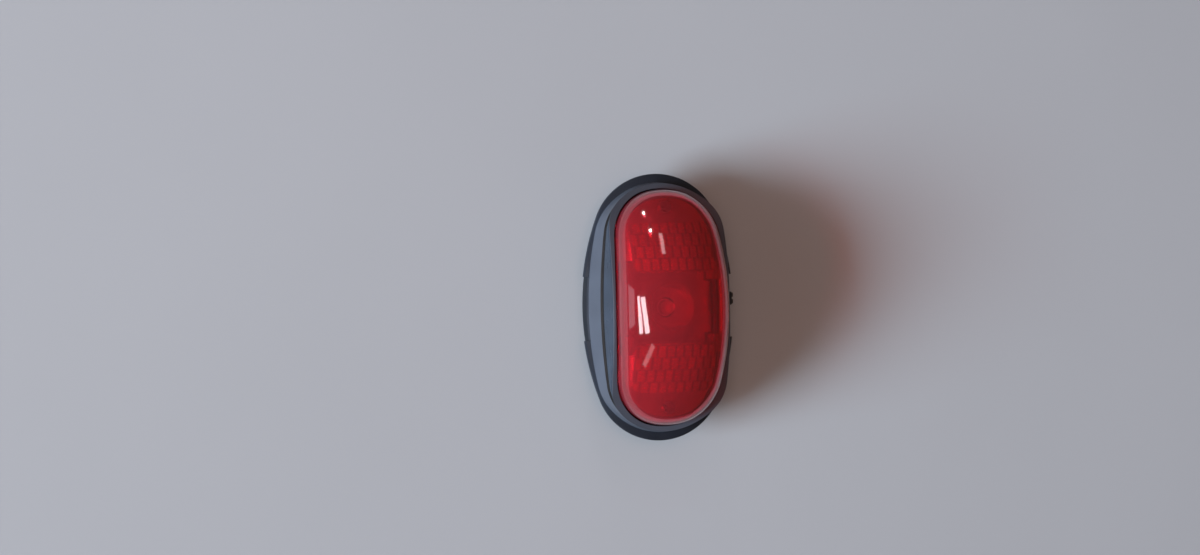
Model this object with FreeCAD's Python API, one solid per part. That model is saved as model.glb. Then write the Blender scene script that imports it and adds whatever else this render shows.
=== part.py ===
"""Battery rear light for a bicycle carrier: an oval black housing under a domed red lens.

Frame: +Z is the way the lens faces and +Y runs along the light. The origin is the
centre of the face that the rubber pad on its back rests on. Lengths are millimetres.
"""
import FreeCAD, Part
import math
import os

# Outside of the housing
LENGTH = 90.0
WIDTH = 54.0
HEIGHT = 37.0
PAD_THICKNESS = 1.5
SEAM_Z = 11.0
RIM_TOP_Z = 12.2
RING_FOOT_Z = 13.0
RING_WAIST_Z = 19.6
CHEEK_TOP_Z = 26.4
WALL = 2.0
FLOOR_THICKNESS = 2.4
BACK_CHAMFER = 1.2
TONGUE_WIDTH = 1.3
TONGUE_HEIGHT = 1.4
TONGUE_GAP = 0.2
CASE_SEAL_WIDTH = 0.8
NOTCH_HALF_LENGTH = 10.7
SIDE_PAD_HALF_LENGTH = 13.0
SIDE_PAD_Z = 3.0

# Lens
LENS_HALF_WIDTH = 19.0
LENS_HALF_LENGTH = 39.4
LENS_WALL = 2.0
LENS_EDGE_ROUND = 7.5
CROWN_RADIUS_ACROSS = 34.0
CROWN_RADIUS_ALONG = 58.0
ARCH_TOP_Z = 25.4
ARCH_END_Z = 16.6
LENS_CLEARANCE = 0.4
SKIRT_DEPTH = 2.0
GASKET_THICKNESS = 1.0
LEDGE_THICKNESS = 2.0
LEDGE_WIDTH = 2.9
TAB_LENGTH = 6.0
TAB_Y = 12.0
TAB_THICKNESS = 1.4
TAB_INSET = 0.9
TAB_HOOK = 1.4
TAB_HOOK_HEIGHT = 1.3
TAB_HOOK_GAP = 0.3

# Fixing to a carrier
BOLT_SPACING = 50.0
THREAD_CORE_RADIUS = 2.1
INSERT_RADIUS = 3.2
INSERT_LENGTH = 8.0
INSERT_BOSS_RADIUS = 5.0
PAD_HOLE_RADIUS = 2.8
PAD_HALF_WIDTH = 10.5
PAD_HALF_LENGTH = 32.0

# Cells
CELL_RADIUS = 5.25
CELL_LENGTH = 44.5
CELL_NUB_RADIUS = 1.9
CELL_NUB_LENGTH = 0.8
CELL_X = 12.6
SPRING_LENGTH = 3.5
PLATE_THICKNESS = 0.4
PLATE_HALF_WIDTH = 3.9
PLATE_BELOW_AXIS = 3.6
PLATE_ABOVE_AXIS = 4.6
CRADLE_Y = 12.0
CRADLE_THICKNESS = 1.6
STOP_THICKNESS = 1.4
STOP_HALF_WIDTH = 3.5
SPRING_WIDE_RADIUS = 3.8
SPRING_NARROW_RADIUS = 2.4
SPRING_WIRE = 0.7

# Circuit board and optics
BOARD_Z = 15.6
BOARD_THICKNESS = 1.6
BOARD_INSET = 3.6
BOARD_SCREW_Y = 33.0
BOARD_SCREW_RADIUS = 1.1
BOARD_SCREW_HEAD_RADIUS = 2.0
BOARD_SCREW_HEAD_HEIGHT = 1.2
BOARD_SLOT_LENGTH = 2.8
BOARD_HOLE_RADIUS = 1.2
BOARD_POST_RADIUS = 3.0
REFLECTOR_GAP = 0.6
REFLECTOR_THICKNESS = 1.4
REFLECTOR_INSET = 3.3
BOWL_RADIUS = 7.6
BOWL_HEIGHT = 6.6
BOWL_WALL = 1.0
THROAT_GAP = 0.6
LED_RADIUS = 2.5
LED_COLLAR_WIDTH = 0.4
LED_COLLAR_HEIGHT = 1.0
LED_HEIGHT = 5.8
PANEL_HALF_WIDTH = 13.5
PANEL_INNER_Y = 11.5
PANEL_OUTER_Y = 27.5
PANEL_THICKNESS = 2.0
PANEL_DEPTH = 3.4
PANEL_CORNER_RADIUS = 2.5
TOWER_WALL = 1.2
REFLECTOR_FOOT_RADIUS = 1.5
REFLECTOR_FOOT_X = 9.0
REFLECTOR_FOOT_Y = 24.0

# Push button
BUTTON_Y = 2.5
BUTTON_Z = 13.7
BUTTON_TIP_X = 25.8
BUTTON_LENGTH = 4.6
BUTTON_HEIGHT = 3.6
BUTTON_TRAVEL = 1.0
BUTTON_CLEARANCE = 0.05
BUTTON_SEAL_WIDTH = 0.6
BUTTON_EDGE_ROUND = 0.7
FLANGE_X = 22.6
FLANGE_THICKNESS = 0.7
FLANGE_MARGIN = 0.9
FLANGE_GAP = 0.6
SWITCH_DEPTH = 3.0
SWITCH_LENGTH = 6.4
SWITCH_HEIGHT = 3.8
SWITCH_GAP = 0.3
SWITCH_TAB_X = (10.0, 20.9)
SWITCH_TAB_HALF_LENGTH = 5.0
PLUNGER_RADIUS = 1.1
PLUNGER_INSET = 1.2

# Case screws, from the back
CASE_SCREW_X = 11.0
CASE_SCREW_Y = 28.5
CASE_SCREW_RADIUS = 1.3
CASE_SCREW_HEAD_RADIUS = 2.7
CASE_SCREW_HEAD_HEIGHT = 1.8
CASE_SCREW_SEAT_Z = 4.9
CROSS_HALF_LENGTH = 1.8
CROSS_HALF_WIDTH = 0.4
CROSS_DEPTH = 0.8
CASE_BOSS_RADIUS = 3.2
TRAY_BOSS_RADIUS = 3.7
CASE_WEB_REACH = 20.5
CASE_WEB_THICKNESS = 2.0

# Parts on the board's underside
CHIP_SIZE = (5.0, 4.0, 1.5)
CHIP_Y = 8.0
CAPACITOR_RADIUS = 3.0
CAPACITOR_HEIGHT = 5.5
CAPACITOR_Y = -9.0
RESISTOR_SIZE = (1.6, 3.0, 0.7)
RESISTOR_PITCH = 4.0
RESISTOR_Y = 2.5

# Values that follow from the driving dimensions
BACK_Z = PAD_THICKNESS
FLOOR_Z = BACK_Z + FLOOR_THICKNESS
BOARD_TOP_Z = BOARD_Z + BOARD_THICKNESS
REFLECTOR_Z = BOARD_TOP_Z + REFLECTOR_GAP
CELL_Z = FLOOR_Z + CELL_RADIUS + 0.3
BAY_HALF_LENGTH = (CELL_LENGTH + SPRING_LENGTH) / 2
ARCH_DROP = ARCH_TOP_Z - ARCH_END_Z
ARCH_RADIUS = (LENS_HALF_LENGTH ** 2 + ARCH_DROP ** 2) / (2 * ARCH_DROP)
LEDGE_DROP = SKIRT_DEPTH + GASKET_THICKNESS
BIG = 200.0

AXIS_X = FreeCAD.Vector(1, 0, 0)
AXIS_Y = FreeCAD.Vector(0, 1, 0)
AXIS_Z = FreeCAD.Vector(0, 0, 1)


def point(x, y, z=0.0):
    """A point in the light's frame."""
    return FreeCAD.Vector(x, y, z)


class Oval:
    """A closed outline of eight tangent arcs: two sides, two ends and four corners."""

    def __init__(self, half_width, half_length, side_radius, corner_radius, end_radius):
        self.half_width = half_width
        self.half_length = half_length
        self.side_radius = side_radius
        self.corner_radius = corner_radius
        self.end_radius = end_radius

    def grown(self, by):
        """The parallel outline that lies further out by the given distance."""
        return Oval(self.half_width + by, self.half_length + by, self.side_radius + by,
                    self.corner_radius + by, self.end_radius + by)

    def corner_centre(self):
        """Centre of the first corner's arc, which touches the side arc and the end arc."""
        side_x = self.half_width - self.side_radius
        end_y = self.half_length - self.end_radius
        to_side = self.side_radius - self.corner_radius
        to_end = self.end_radius - self.corner_radius
        apart = math.hypot(side_x, end_y)
        along = (to_side ** 2 - to_end ** 2 + apart ** 2) / (2 * apart)
        aside = math.sqrt(to_side ** 2 - along ** 2)
        x = side_x + (-side_x * along - end_y * aside) / apart
        y = (end_y * along - side_x * aside) / apart
        return x, y

    def wire(self, z):
        """The outline at the given height."""
        corner_x, corner_y = self.corner_centre()
        side_x = self.half_width - self.side_radius
        end_y = self.half_length - self.end_radius
        side_angle = math.atan2(corner_y, corner_x - side_x)
        end_angle = math.atan2(corner_y - end_y, corner_x)
        mid_angle = (side_angle + end_angle) / 2

        def on_side(angle):
            return side_x + self.side_radius * math.cos(angle), self.side_radius * math.sin(angle)

        def on_corner(angle):
            return (corner_x + self.corner_radius * math.cos(angle),
                    corner_y + self.corner_radius * math.sin(angle))

        first = on_side(side_angle)
        second = on_corner(end_angle)
        middle = on_corner(mid_angle)
        edges = []
        for flip_x, flip_y in ((1, 1), (-1, 1), (-1, -1), (1, -1)):
            corner = [point(flip_x * x, flip_y * y, z) for x, y in (first, middle, second)]
            if flip_x * flip_y < 0:
                corner.reverse()
            edges.append(Part.Arc(*corner))
        tips = ((0, self.half_length), (-self.half_width, 0), (0, -self.half_length), (self.half_width, 0))
        arcs = []
        for index, edge in enumerate(edges):
            following = edges[(index + 1) % 4]
            arcs.append(edge.toShape())
            arcs.append(Part.Arc(edge.EndPoint, point(*tips[index], z), following.StartPoint).toShape())
        return Part.Wire(arcs)

    def prism(self, low, high):
        """The outline pulled straight up from one height to another."""
        return Part.Face(self.wire(low)).extrude(point(0, 0, high - low))


RIM = Oval(WIDTH / 2, LENGTH / 2, 85, 20, 23.2)
RING_FOOT = Oval(25.1, 41.9, 115, 18, 24)
RING_WAIST = Oval(22.4, 41.2, 220, 16, 24)
CHEEK_TOP = Oval(20.2, 40.9, 330, 16.5, 24.5)
LENS = Oval(LENS_HALF_WIDTH, LENS_HALF_LENGTH, 330, 17, 24)
TRAY_TOP = RIM.grown(-2.4)
TRAY_BACK = RIM.grown(-5.4)
SIDE_PAD_FOOT = RIM.grown(-2.8)
TONGUE = RIM.grown(-4.1)
SEAL_GROOVE = RIM.grown(-2.9)


def stack(*levels):
    """A solid through outlines at rising heights, with straight flanks between them."""
    return Part.makeLoft([oval.wire(z) for oval, z in levels], True, True)


def box(x, y, z):
    """A box between two limits along each axis."""
    size = (x[1] - x[0], y[1] - y[0], z[1] - z[0])
    return Part.makeBox(*size, point(x[0], y[0], z[0]))


def disc(x, y, radius, low, high):
    """An upright cylinder."""
    return Part.makeCylinder(radius, high - low, point(x, y, low))


def joined(shapes):
    """One shape out of several that touch or cross."""
    first, *others = shapes
    return first.fuse(others).removeSplitter()


def separate(shapes):
    """A group of solids that stay apart from each other."""
    return Part.makeCompound(shapes)


def stadium(half_width, half_length, low, high):
    """A flat plate with straight sides and round ends."""
    straight = half_length - half_width
    plate = box((-half_width, half_width), (-straight, straight), (low, high))
    ends = [disc(0, y, half_width, low, high) for y in (-straight, straight)]
    return joined([plate] + ends)


def below_arch(drop):
    """Everything under the arched line that the lens sits on, or that far below it."""
    centre = point(-BIG / 2, 0, ARCH_TOP_Z - ARCH_RADIUS)
    return Part.makeCylinder(ARCH_RADIUS - drop, BIG, centre, AXIS_X)


def below_crown(drop):
    """Everything under the lens's crown, or under a parallel surface that far below it."""
    across = CROWN_RADIUS_ACROSS - drop
    axis_z = HEIGHT - CROWN_RADIUS_ALONG
    reach = across * 0.9
    shoulder_z = HEIGHT - CROWN_RADIUS_ACROSS + math.sqrt(across ** 2 - reach ** 2)
    left = point(-reach, 0, shoulder_z)
    right = point(reach, 0, shoulder_z)
    top = point(0, 0, HEIGHT - drop)
    edges = [
        Part.Arc(left, top, right).toShape(),
        Part.makeLine(right, point(reach, 0, axis_z)),
        Part.makeLine(point(reach, 0, axis_z), point(-reach, 0, axis_z)),
        Part.makeLine(point(-reach, 0, axis_z), left),
    ]
    barrel = Part.Face(Part.Wire(edges)).revolve(point(0, 0, axis_z), AXIS_X, 360)
    barrel.rotate(point(0, 0, axis_z), AXIS_X, 180)  # turns the seam away from the crown
    return barrel


def dome(inset):
    """The pillow that the lens's outside has, or its inside at the given inset."""
    blank = LENS.grown(-inset).prism(SEAM_Z, HEIGHT + 1).common(below_crown(inset))
    crown = max(blank.Faces, key=lambda face: face.CenterOfMass.z)
    return blank.makeFillet(LENS_EDGE_ROUND - inset, crown.Edges)


def lens():
    """Domed cover with a skirt that sits on the gasket, and four snap tabs inside it."""
    shell = dome(0).cut(dome(LENS_WALL)).cut(below_arch(SKIRT_DEPTH))
    wall_x = LENS_HALF_WIDTH - LENS_WALL
    tabs = []
    for side in (-1, 1):
        for y in (-TAB_Y, TAB_Y):
            tabs.append(snap_tab(side, y, wall_x))
    return joined([shell] + tabs)


def snap_tab(side, y, wall_x):
    """A tongue beside the ledge, with a hook that catches under it."""
    along = (y - TAB_LENGTH / 2, y + TAB_LENGTH / 2)
    outer = LENS_HALF_WIDTH - LEDGE_WIDTH - TAB_INSET
    inner = outer - TAB_THICKNESS
    hook = LEDGE_DROP + LEDGE_THICKNESS + TAB_HOOK_GAP
    foot = hook + TAB_HOOK_HEIGHT

    def between(x_low, x_high, low, high):
        x = sorted((side * x_low, side * x_high))
        block = box(x, along, (SEAM_Z, ARCH_TOP_Z + 5))
        return block.common(below_arch(high)).cut(below_arch(low))

    tongue = between(inner, outer, foot, -1.0)
    bridge = between(outer - 0.1, wall_x + 0.5, SKIRT_DEPTH, -1.0)
    catch = between(outer - 0.1, outer + TAB_HOOK, foot, hook)
    return joined([tongue, bridge, catch])


def lens_gasket():
    """Flat rubber ring between the lens's skirt and the ledge in the frame."""
    ring = LENS.grown(0.2).prism(SEAM_Z, BIG).cut(LENS.grown(-LENS_WALL - 0.2).prism(SEAM_Z, BIG))
    return ring.common(below_arch(SKIRT_DEPTH)).cut(below_arch(LEDGE_DROP))


def front_frame():
    """Front of the housing: rim, flanks, cheeks, and the ledge that carries the lens."""
    outside = stack((RIM, SEAM_Z), (RIM, RIM_TOP_Z), (RING_FOOT, RING_FOOT_Z),
                    (RING_WAIST, RING_WAIST_Z), (CHEEK_TOP, CHEEK_TOP_Z)).common(below_arch(0))
    recess = LENS.grown(LENS_CLEARANCE).prism(SEAM_Z, BIG).cut(below_arch(LEDGE_DROP))
    opening = LENS.grown(-LEDGE_WIDTH).prism(0, BIG)
    socket = TONGUE.grown(TONGUE_GAP)
    socket_top = SEAM_Z + TONGUE_HEIGHT + TONGUE_GAP
    room = stack((socket, SEAM_Z - 1), (socket, socket_top),
                 (RING_FOOT.grown(-WALL), RING_FOOT_Z), (RING_WAIST.grown(-WALL), RING_WAIST_Z),
                 (CHEEK_TOP.grown(-WALL), CHEEK_TOP_Z))
    room = room.common(below_arch(LEDGE_DROP + LEDGE_THICKNESS))
    frame = outside.cut([recess, opening, room, socket.prism(SEAM_Z - 1, socket_top)])
    notches = [box(x, (-NOTCH_HALF_LENGTH, NOTCH_HALF_LENGTH), (SEAM_Z - 1, RING_FOOT_Z))
               for x in ((15, WIDTH), (-WIDTH, -15))]
    kept = RING_FOOT.prism(SEAM_Z - 1, RING_FOOT_Z)
    frame = frame.cut([notch.cut(kept) for notch in notches])
    frame = joined([frame] + [case_boss(x, y) for x, y in case_screw_places()])
    holes = [disc(x, y, CASE_SCREW_RADIUS, SEAM_Z - 1, BOARD_Z) for x, y in case_screw_places()]
    return frame.cut(holes + [button_window(BUTTON_SEAL_WIDTH), flange_pocket()])


def case_screw_places():
    """The four case screws' places in plan."""
    return [(x, y) for x in (-CASE_SCREW_X, CASE_SCREW_X) for y in (-CASE_SCREW_Y, CASE_SCREW_Y)]


def case_boss(x, y):
    """A screw boss in the frame, with a web out to the wall."""
    top = BOARD_Z - 0.2
    boss = disc(x, y, CASE_BOSS_RADIUS, SEAM_Z, top)
    web_x = sorted((x, math.copysign(CASE_WEB_REACH, x)))
    half = CASE_WEB_THICKNESS / 2
    web = box(web_x, (y - half, y + half), (SEAM_Z + TONGUE_HEIGHT + TONGUE_GAP, top))
    return joined([boss, web])


def button_window(margin):
    """The hole for the button, or for the seal round it."""
    y = BUTTON_LENGTH / 2 + margin
    z = BUTTON_HEIGHT / 2 + margin
    return box((FLANGE_X, WIDTH), (BUTTON_Y - y, BUTTON_Y + y), (BUTTON_Z - z, BUTTON_Z + z))


def flange_pocket():
    """The room behind the wall that the button's flange travels in."""
    y = BUTTON_LENGTH / 2 + FLANGE_MARGIN + FLANGE_GAP
    top = BUTTON_Z + BUTTON_HEIGHT / 2 + FLANGE_GAP
    return box((FLANGE_X - WALL - BUTTON_TRAVEL, FLANGE_X), (BUTTON_Y - y, BUTTON_Y + y), (SEAM_Z - 1, top))


def back_tray():
    """Back of the housing: shell, cell cradles, screw pillars and insert bosses."""
    outside = stack((TRAY_BACK.grown(-BACK_CHAMFER), BACK_Z), (TRAY_BACK, BACK_Z + BACK_CHAMFER),
                    (TRAY_TOP, SEAM_Z))
    room = stack((TRAY_BACK.grown(-WALL), FLOOR_Z), (TRAY_TOP.grown(-WALL), SEAM_Z))
    side_pads = stack((SIDE_PAD_FOOT, SIDE_PAD_Z), (TRAY_TOP, SEAM_Z))
    middle = box((-WIDTH, WIDTH), (-SIDE_PAD_HALF_LENGTH, SIDE_PAD_HALF_LENGTH), (0, SEAM_Z))
    side_pads = side_pads.common(middle)
    tongue = TONGUE.prism(SEAM_Z - 2, SEAM_Z + TONGUE_HEIGHT)
    tongue = tongue.cut(TONGUE.grown(-TONGUE_WIDTH).prism(0, SEAM_Z + 5))
    shell = joined([outside, side_pads]).cut(room)
    inside = [tongue, cell_cradles()]
    inside += [disc(0, y, INSERT_BOSS_RADIUS, BACK_Z, SEAM_Z) for y in insert_places()]
    inside += [disc(x, y, TRAY_BOSS_RADIUS, BACK_Z, SEAM_Z) for x, y in case_screw_places()]
    inside += [disc(0, y, BOARD_POST_RADIUS, BACK_Z + 1, BOARD_Z) for y in (-BOARD_SCREW_Y, BOARD_SCREW_Y)]
    tray = joined([shell] + inside)
    cuts = [disc(0, y, INSERT_RADIUS, BACK_Z - 1, BACK_Z + INSERT_LENGTH) for y in insert_places()]
    cuts += [disc(0, y, THREAD_CORE_RADIUS, BACK_Z, SEAM_Z - 1) for y in insert_places()]
    cuts += [disc(x, y, CASE_SCREW_HEAD_RADIUS + 0.3, 0, CASE_SCREW_SEAT_Z) for x, y in case_screw_places()]
    cuts += [disc(x, y, CASE_SCREW_RADIUS + 0.2, 0, SEAM_Z + 1) for x, y in case_screw_places()]
    cuts += [disc(0, y, BOARD_SCREW_RADIUS, SEAM_Z - 3, BIG) for y in (-BOARD_SCREW_Y, BOARD_SCREW_Y)]
    gap_y = BUTTON_LENGTH / 2 + FLANGE_MARGIN + FLANGE_GAP
    cuts.append(box((WIDTH / 4, WIDTH), (BUTTON_Y - gap_y, BUTTON_Y + gap_y), (SEAM_Z, BUTTON_Z)))
    cuts.append(case_seal())
    return tray.cut(cuts)


def insert_places():
    """The two inserts' places along the light."""
    return [-BOLT_SPACING / 2, BOLT_SPACING / 2]


def cell_cradles():
    """Two ribs that both cells lie in, and the stops behind their contacts."""
    half_span = CELL_X + CELL_RADIUS
    half = CRADLE_THICKNESS / 2
    ribs = [box((-half_span, half_span), (y - half, y + half), (FLOOR_Z - 0.5, CELL_Z - 1))
            for y in (-CRADLE_Y, CRADLE_Y)]
    cells = [Part.makeCylinder(CELL_RADIUS + 0.1, LENGTH, point(x, -LENGTH / 2, CELL_Z), AXIS_Y)
             for x in (-CELL_X, CELL_X)]
    low = BAY_HALF_LENGTH + PLATE_THICKNESS
    high = low + STOP_THICKNESS
    stops = []
    for x in (-CELL_X, CELL_X):
        for along in ((-high, -low), (low, high)):
            width = (x - STOP_HALF_WIDTH, x + STOP_HALF_WIDTH)
            stops.append(box(width, along, (FLOOR_Z - 0.5, CELL_Z)))
    return separate([rib.cut(cells) for rib in ribs] + stops)


def case_seal():
    """Rubber cord in the groove between the tray and the frame."""
    inner = SEAL_GROOVE.grown(-CASE_SEAL_WIDTH).prism(0, SEAM_Z + 1)
    return SEAL_GROOVE.prism(SEAM_Z - CASE_SEAL_WIDTH, SEAM_Z).cut(inner)


def mount_pad():
    """Flat rubber pad that the light rests on, with clearance for the two carrier bolts."""
    pad = stadium(PAD_HALF_WIDTH, PAD_HALF_LENGTH, 0, PAD_THICKNESS)
    holes = [disc(0, y, PAD_HOLE_RADIUS, -1, PAD_THICKNESS + 1) for y in insert_places()]
    return pad.cut(holes)


def threaded_inserts():
    """Two brass bushes with the carrier bolts' thread."""
    bushes = []
    for y in insert_places():
        bush = disc(0, y, INSERT_RADIUS, BACK_Z, BACK_Z + INSERT_LENGTH)
        bushes.append(bush.cut(disc(0, y, THREAD_CORE_RADIUS, 0, BIG)))
    return separate(bushes)


def case_screws():
    """Four self-tapping screws with pan heads, sunk in the back."""
    seat = CASE_SCREW_SEAT_Z
    low = seat - CASE_SCREW_HEAD_HEIGHT
    screws = []
    for x, y in case_screw_places():
        head = disc(x, y, CASE_SCREW_HEAD_RADIUS, low, seat)
        shank = disc(x, y, CASE_SCREW_RADIUS, seat, BOARD_Z - 0.6)
        depth = (low - 1, low + CROSS_DEPTH)
        long, wide = CROSS_HALF_LENGTH, CROSS_HALF_WIDTH
        slot = box((x - wide, x + wide), (y - long, y + long), depth)
        cross = box((x - long, x + long), (y - wide, y + wide), depth)
        screws.append(joined([head, shank]).cut([slot, cross]))
    return separate(screws)


def board_screws():
    """Two screws that hold the reflector and the board on the tray's posts."""
    seat = REFLECTOR_Z + REFLECTOR_THICKNESS
    screws = []
    for y in (-BOARD_SCREW_Y, BOARD_SCREW_Y):
        head = disc(0, y, BOARD_SCREW_HEAD_RADIUS, seat, seat + BOARD_SCREW_HEAD_HEIGHT)
        shank = disc(0, y, BOARD_SCREW_RADIUS, SEAM_Z - 2, seat)
        slot = box((-BOARD_SLOT_LENGTH / 2, BOARD_SLOT_LENGTH / 2), (y - 0.3, y + 0.3), (seat + 0.6, BIG))
        screws.append(joined([head, shank]).cut(slot))
    return separate(screws)


def circuit_board():
    """Oval board with a tab that carries the switch."""
    plate = LENS.grown(-BOARD_INSET).prism(BOARD_Z, BOARD_TOP_Z)
    half = SWITCH_TAB_HALF_LENGTH
    tab = box(SWITCH_TAB_X, (BUTTON_Y - half, BUTTON_Y + half), (BOARD_Z, BOARD_TOP_Z))
    holes = [disc(0, y, BOARD_HOLE_RADIUS, 0, BIG) for y in (-BOARD_SCREW_Y, BOARD_SCREW_Y)]
    return joined([plate, tab]).cut(holes)


def reflector():
    """Bright tray with a bowl round the lamp and two towers that carry the reflex panels."""
    top = REFLECTOR_Z + REFLECTOR_THICKNESS
    plate = LENS.grown(-REFLECTOR_INSET).prism(REFLECTOR_Z, top)
    towers = [tower(side) for side in (-1, 1)]
    feet = [disc(x, y, REFLECTOR_FOOT_RADIUS, BOARD_TOP_Z, REFLECTOR_Z)
            for x in (-REFLECTOR_FOOT_X, REFLECTOR_FOOT_X) for y in (-REFLECTOR_FOOT_Y, REFLECTOR_FOOT_Y)]
    body = joined([plate, bowl(BOWL_WALL)] + towers + feet)
    cuts = [bowl(0), disc(0, 0, LED_RADIUS + 0.8, 0, REFLECTOR_Z + 2)]
    cuts += [disc(0, y, BOARD_HOLE_RADIUS, 0, BIG) for y in (-BOARD_SCREW_Y, BOARD_SCREW_Y)]
    for side in (-1, 1):
        for y in (-TAB_Y, TAB_Y):
            tab_inner = LENS_HALF_WIDTH - LEDGE_WIDTH - TAB_INSET - TAB_THICKNESS
            x = sorted((side * (tab_inner - 0.4), side * LENS_HALF_WIDTH))
            cuts.append(box(x, (y - TAB_LENGTH / 2 - 0.4, y + TAB_LENGTH / 2 + 0.4), (0, top + 1)))
    return body.cut(cuts)


def bowl(wall):
    """The lamp's bowl as a solid, thicker all round by the given wall."""
    low = REFLECTOR_Z + 1.0
    high = low + BOWL_HEIGHT
    throat = LED_RADIUS + THROAT_GAP + wall
    rim = BOWL_RADIUS + wall
    bulge = point(throat + 0.72 * (rim - throat), 0, low + 0.42 * BOWL_HEIGHT)
    edges = [
        Part.makeLine(point(0, 0, low), point(throat, 0, low)),
        Part.Arc(point(throat, 0, low), bulge, point(rim, 0, high)).toShape(),
        Part.makeLine(point(rim, 0, high), point(0, 0, high)),
        Part.makeLine(point(0, 0, high), point(0, 0, low)),
    ]
    return Part.Face(Part.Wire(edges)).revolve(point(0, 0, 0), AXIS_Z, 360)


def panel_block(side, inset, low, high):
    """The footprint of a reflex panel as an upright block."""
    along = sorted((side * (PANEL_INNER_Y + inset), side * (PANEL_OUTER_Y - inset)))
    half_width = PANEL_HALF_WIDTH - inset
    block = box((-half_width, half_width), along, (low, high))
    upright = [edge for edge in block.Edges if is_upright(edge)]
    return block.makeFillet(PANEL_CORNER_RADIUS - inset, upright)


def is_upright(edge):
    """Whether an edge runs along +Z."""
    start, end = edge.Vertexes[0].Point, edge.Vertexes[-1].Point
    return abs(start.z - end.z) > 1.0


def tower(side):
    """Walls that rise from the reflector's plate to the underside of a reflex panel."""
    wall = panel_block(side, 0, REFLECTOR_Z, HEIGHT).cut(panel_block(side, TOWER_WALL, 0, BIG))
    return wall.common(below_crown(PANEL_DEPTH + PANEL_THICKNESS))


def reflex_panel(side):
    """A red prism panel, parallel to the lens above it."""
    block = panel_block(side, 0, REFLECTOR_Z, HEIGHT)
    return block.common(below_crown(PANEL_DEPTH)).cut(below_crown(PANEL_DEPTH + PANEL_THICKNESS))


def main_led():
    """Round lamp with a collar and a domed nose."""
    collar = disc(0, 0, LED_RADIUS + LED_COLLAR_WIDTH, BOARD_TOP_Z, BOARD_TOP_Z + LED_COLLAR_HEIGHT)
    neck_top = BOARD_TOP_Z + LED_HEIGHT - LED_RADIUS
    neck = disc(0, 0, LED_RADIUS, BOARD_TOP_Z, neck_top)
    nose = Part.makeSphere(LED_RADIUS, point(0, 0, neck_top), AXIS_Z, 0, 90, 360)
    return joined([collar, neck, nose])


def battery_cell(side):
    """A slim cell with its raised contact at one end; the two cells lie opposite ways."""
    turn = AXIS_Y if side < 0 else -AXIS_Y
    start = -turn.y * (BAY_HALF_LENGTH - SPRING_LENGTH)
    body_length = CELL_LENGTH - CELL_NUB_LENGTH
    body = Part.makeCylinder(CELL_RADIUS, body_length, point(side * CELL_X, start, CELL_Z), turn)
    nub_start = point(side * CELL_X, start + turn.y * body_length, CELL_Z)
    nub = Part.makeCylinder(CELL_NUB_RADIUS, CELL_NUB_LENGTH, nub_start, turn)
    ends = [edge for edge in body.Edges if edge.isClosed()]
    return joined([body.makeFillet(0.5, ends), nub])


def battery_springs():
    """Two tapered contact springs, one behind each cell's flat end."""
    springs = []
    for side in (-1, 1):
        turn = AXIS_Y if side < 0 else -AXIS_Y
        start = point(side * CELL_X, -turn.y * BAY_HALF_LENGTH, CELL_Z)
        outside = Part.makeCone(SPRING_WIDE_RADIUS, SPRING_NARROW_RADIUS, SPRING_LENGTH, start, turn)
        inside = Part.makeCone(SPRING_WIDE_RADIUS - SPRING_WIRE, SPRING_NARROW_RADIUS - SPRING_WIRE,
                               SPRING_LENGTH, start, turn)
        springs.append(outside.cut(inside))
    return separate(springs)


def contact_plate(x, low_y):
    """A spring steel contact that stands behind a cell's end."""
    along = (low_y, low_y + PLATE_THICKNESS)
    height = (CELL_Z - PLATE_BELOW_AXIS, CELL_Z + PLATE_ABOVE_AXIS)
    return box((x - PLATE_HALF_WIDTH, x + PLATE_HALF_WIDTH), along, height)


def terminal_plates():
    """The two contacts at the lower end, each with a tail up to the board."""
    low_y = -BAY_HALF_LENGTH - PLATE_THICKNESS
    plates = []
    for x in (-CELL_X, CELL_X):
        tail = box((x - 1, x + 1), (low_y, low_y + PLATE_THICKNESS), (CELL_Z, BOARD_Z))
        plates.append(joined([contact_plate(x, low_y), tail]))
    return separate(plates)


def bridge_contact():
    """The contact at the upper end, which joins the two cells over the insert's boss."""
    low_y = BAY_HALF_LENGTH
    plates = [contact_plate(x, low_y) for x in (-CELL_X, CELL_X)]
    height = (SEAM_Z + 0.8, CELL_Z + PLATE_ABOVE_AXIS)
    link = box((-CELL_X, CELL_X), (low_y, low_y + PLATE_THICKNESS), height)
    return joined(plates + [link])


def switch_body():
    """Right-angle push switch that hangs under the board's tab."""
    face_x = FLANGE_X - FLANGE_THICKNESS - BUTTON_TRAVEL - SWITCH_GAP
    half = SWITCH_LENGTH / 2
    block = box((face_x - SWITCH_DEPTH, face_x), (BUTTON_Y - half, BUTTON_Y + half),
                (BOARD_Z - SWITCH_HEIGHT, BOARD_Z))
    depth = BUTTON_TRAVEL + PLUNGER_INSET
    bore = Part.makeCylinder(PLUNGER_RADIUS + BUTTON_CLEARANCE, depth + 1,
                             point(face_x - depth, BUTTON_Y, BUTTON_Z), AXIS_X)
    return block.cut(bore)


def switch_plunger():
    """The switch's plunger, which the button's flange bears on."""
    tip_x = FLANGE_X - FLANGE_THICKNESS
    length = BUTTON_TRAVEL + PLUNGER_INSET
    return Part.makeCylinder(PLUNGER_RADIUS, length, point(tip_x - length, BUTTON_Y, BUTTON_Z), AXIS_X)


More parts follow.
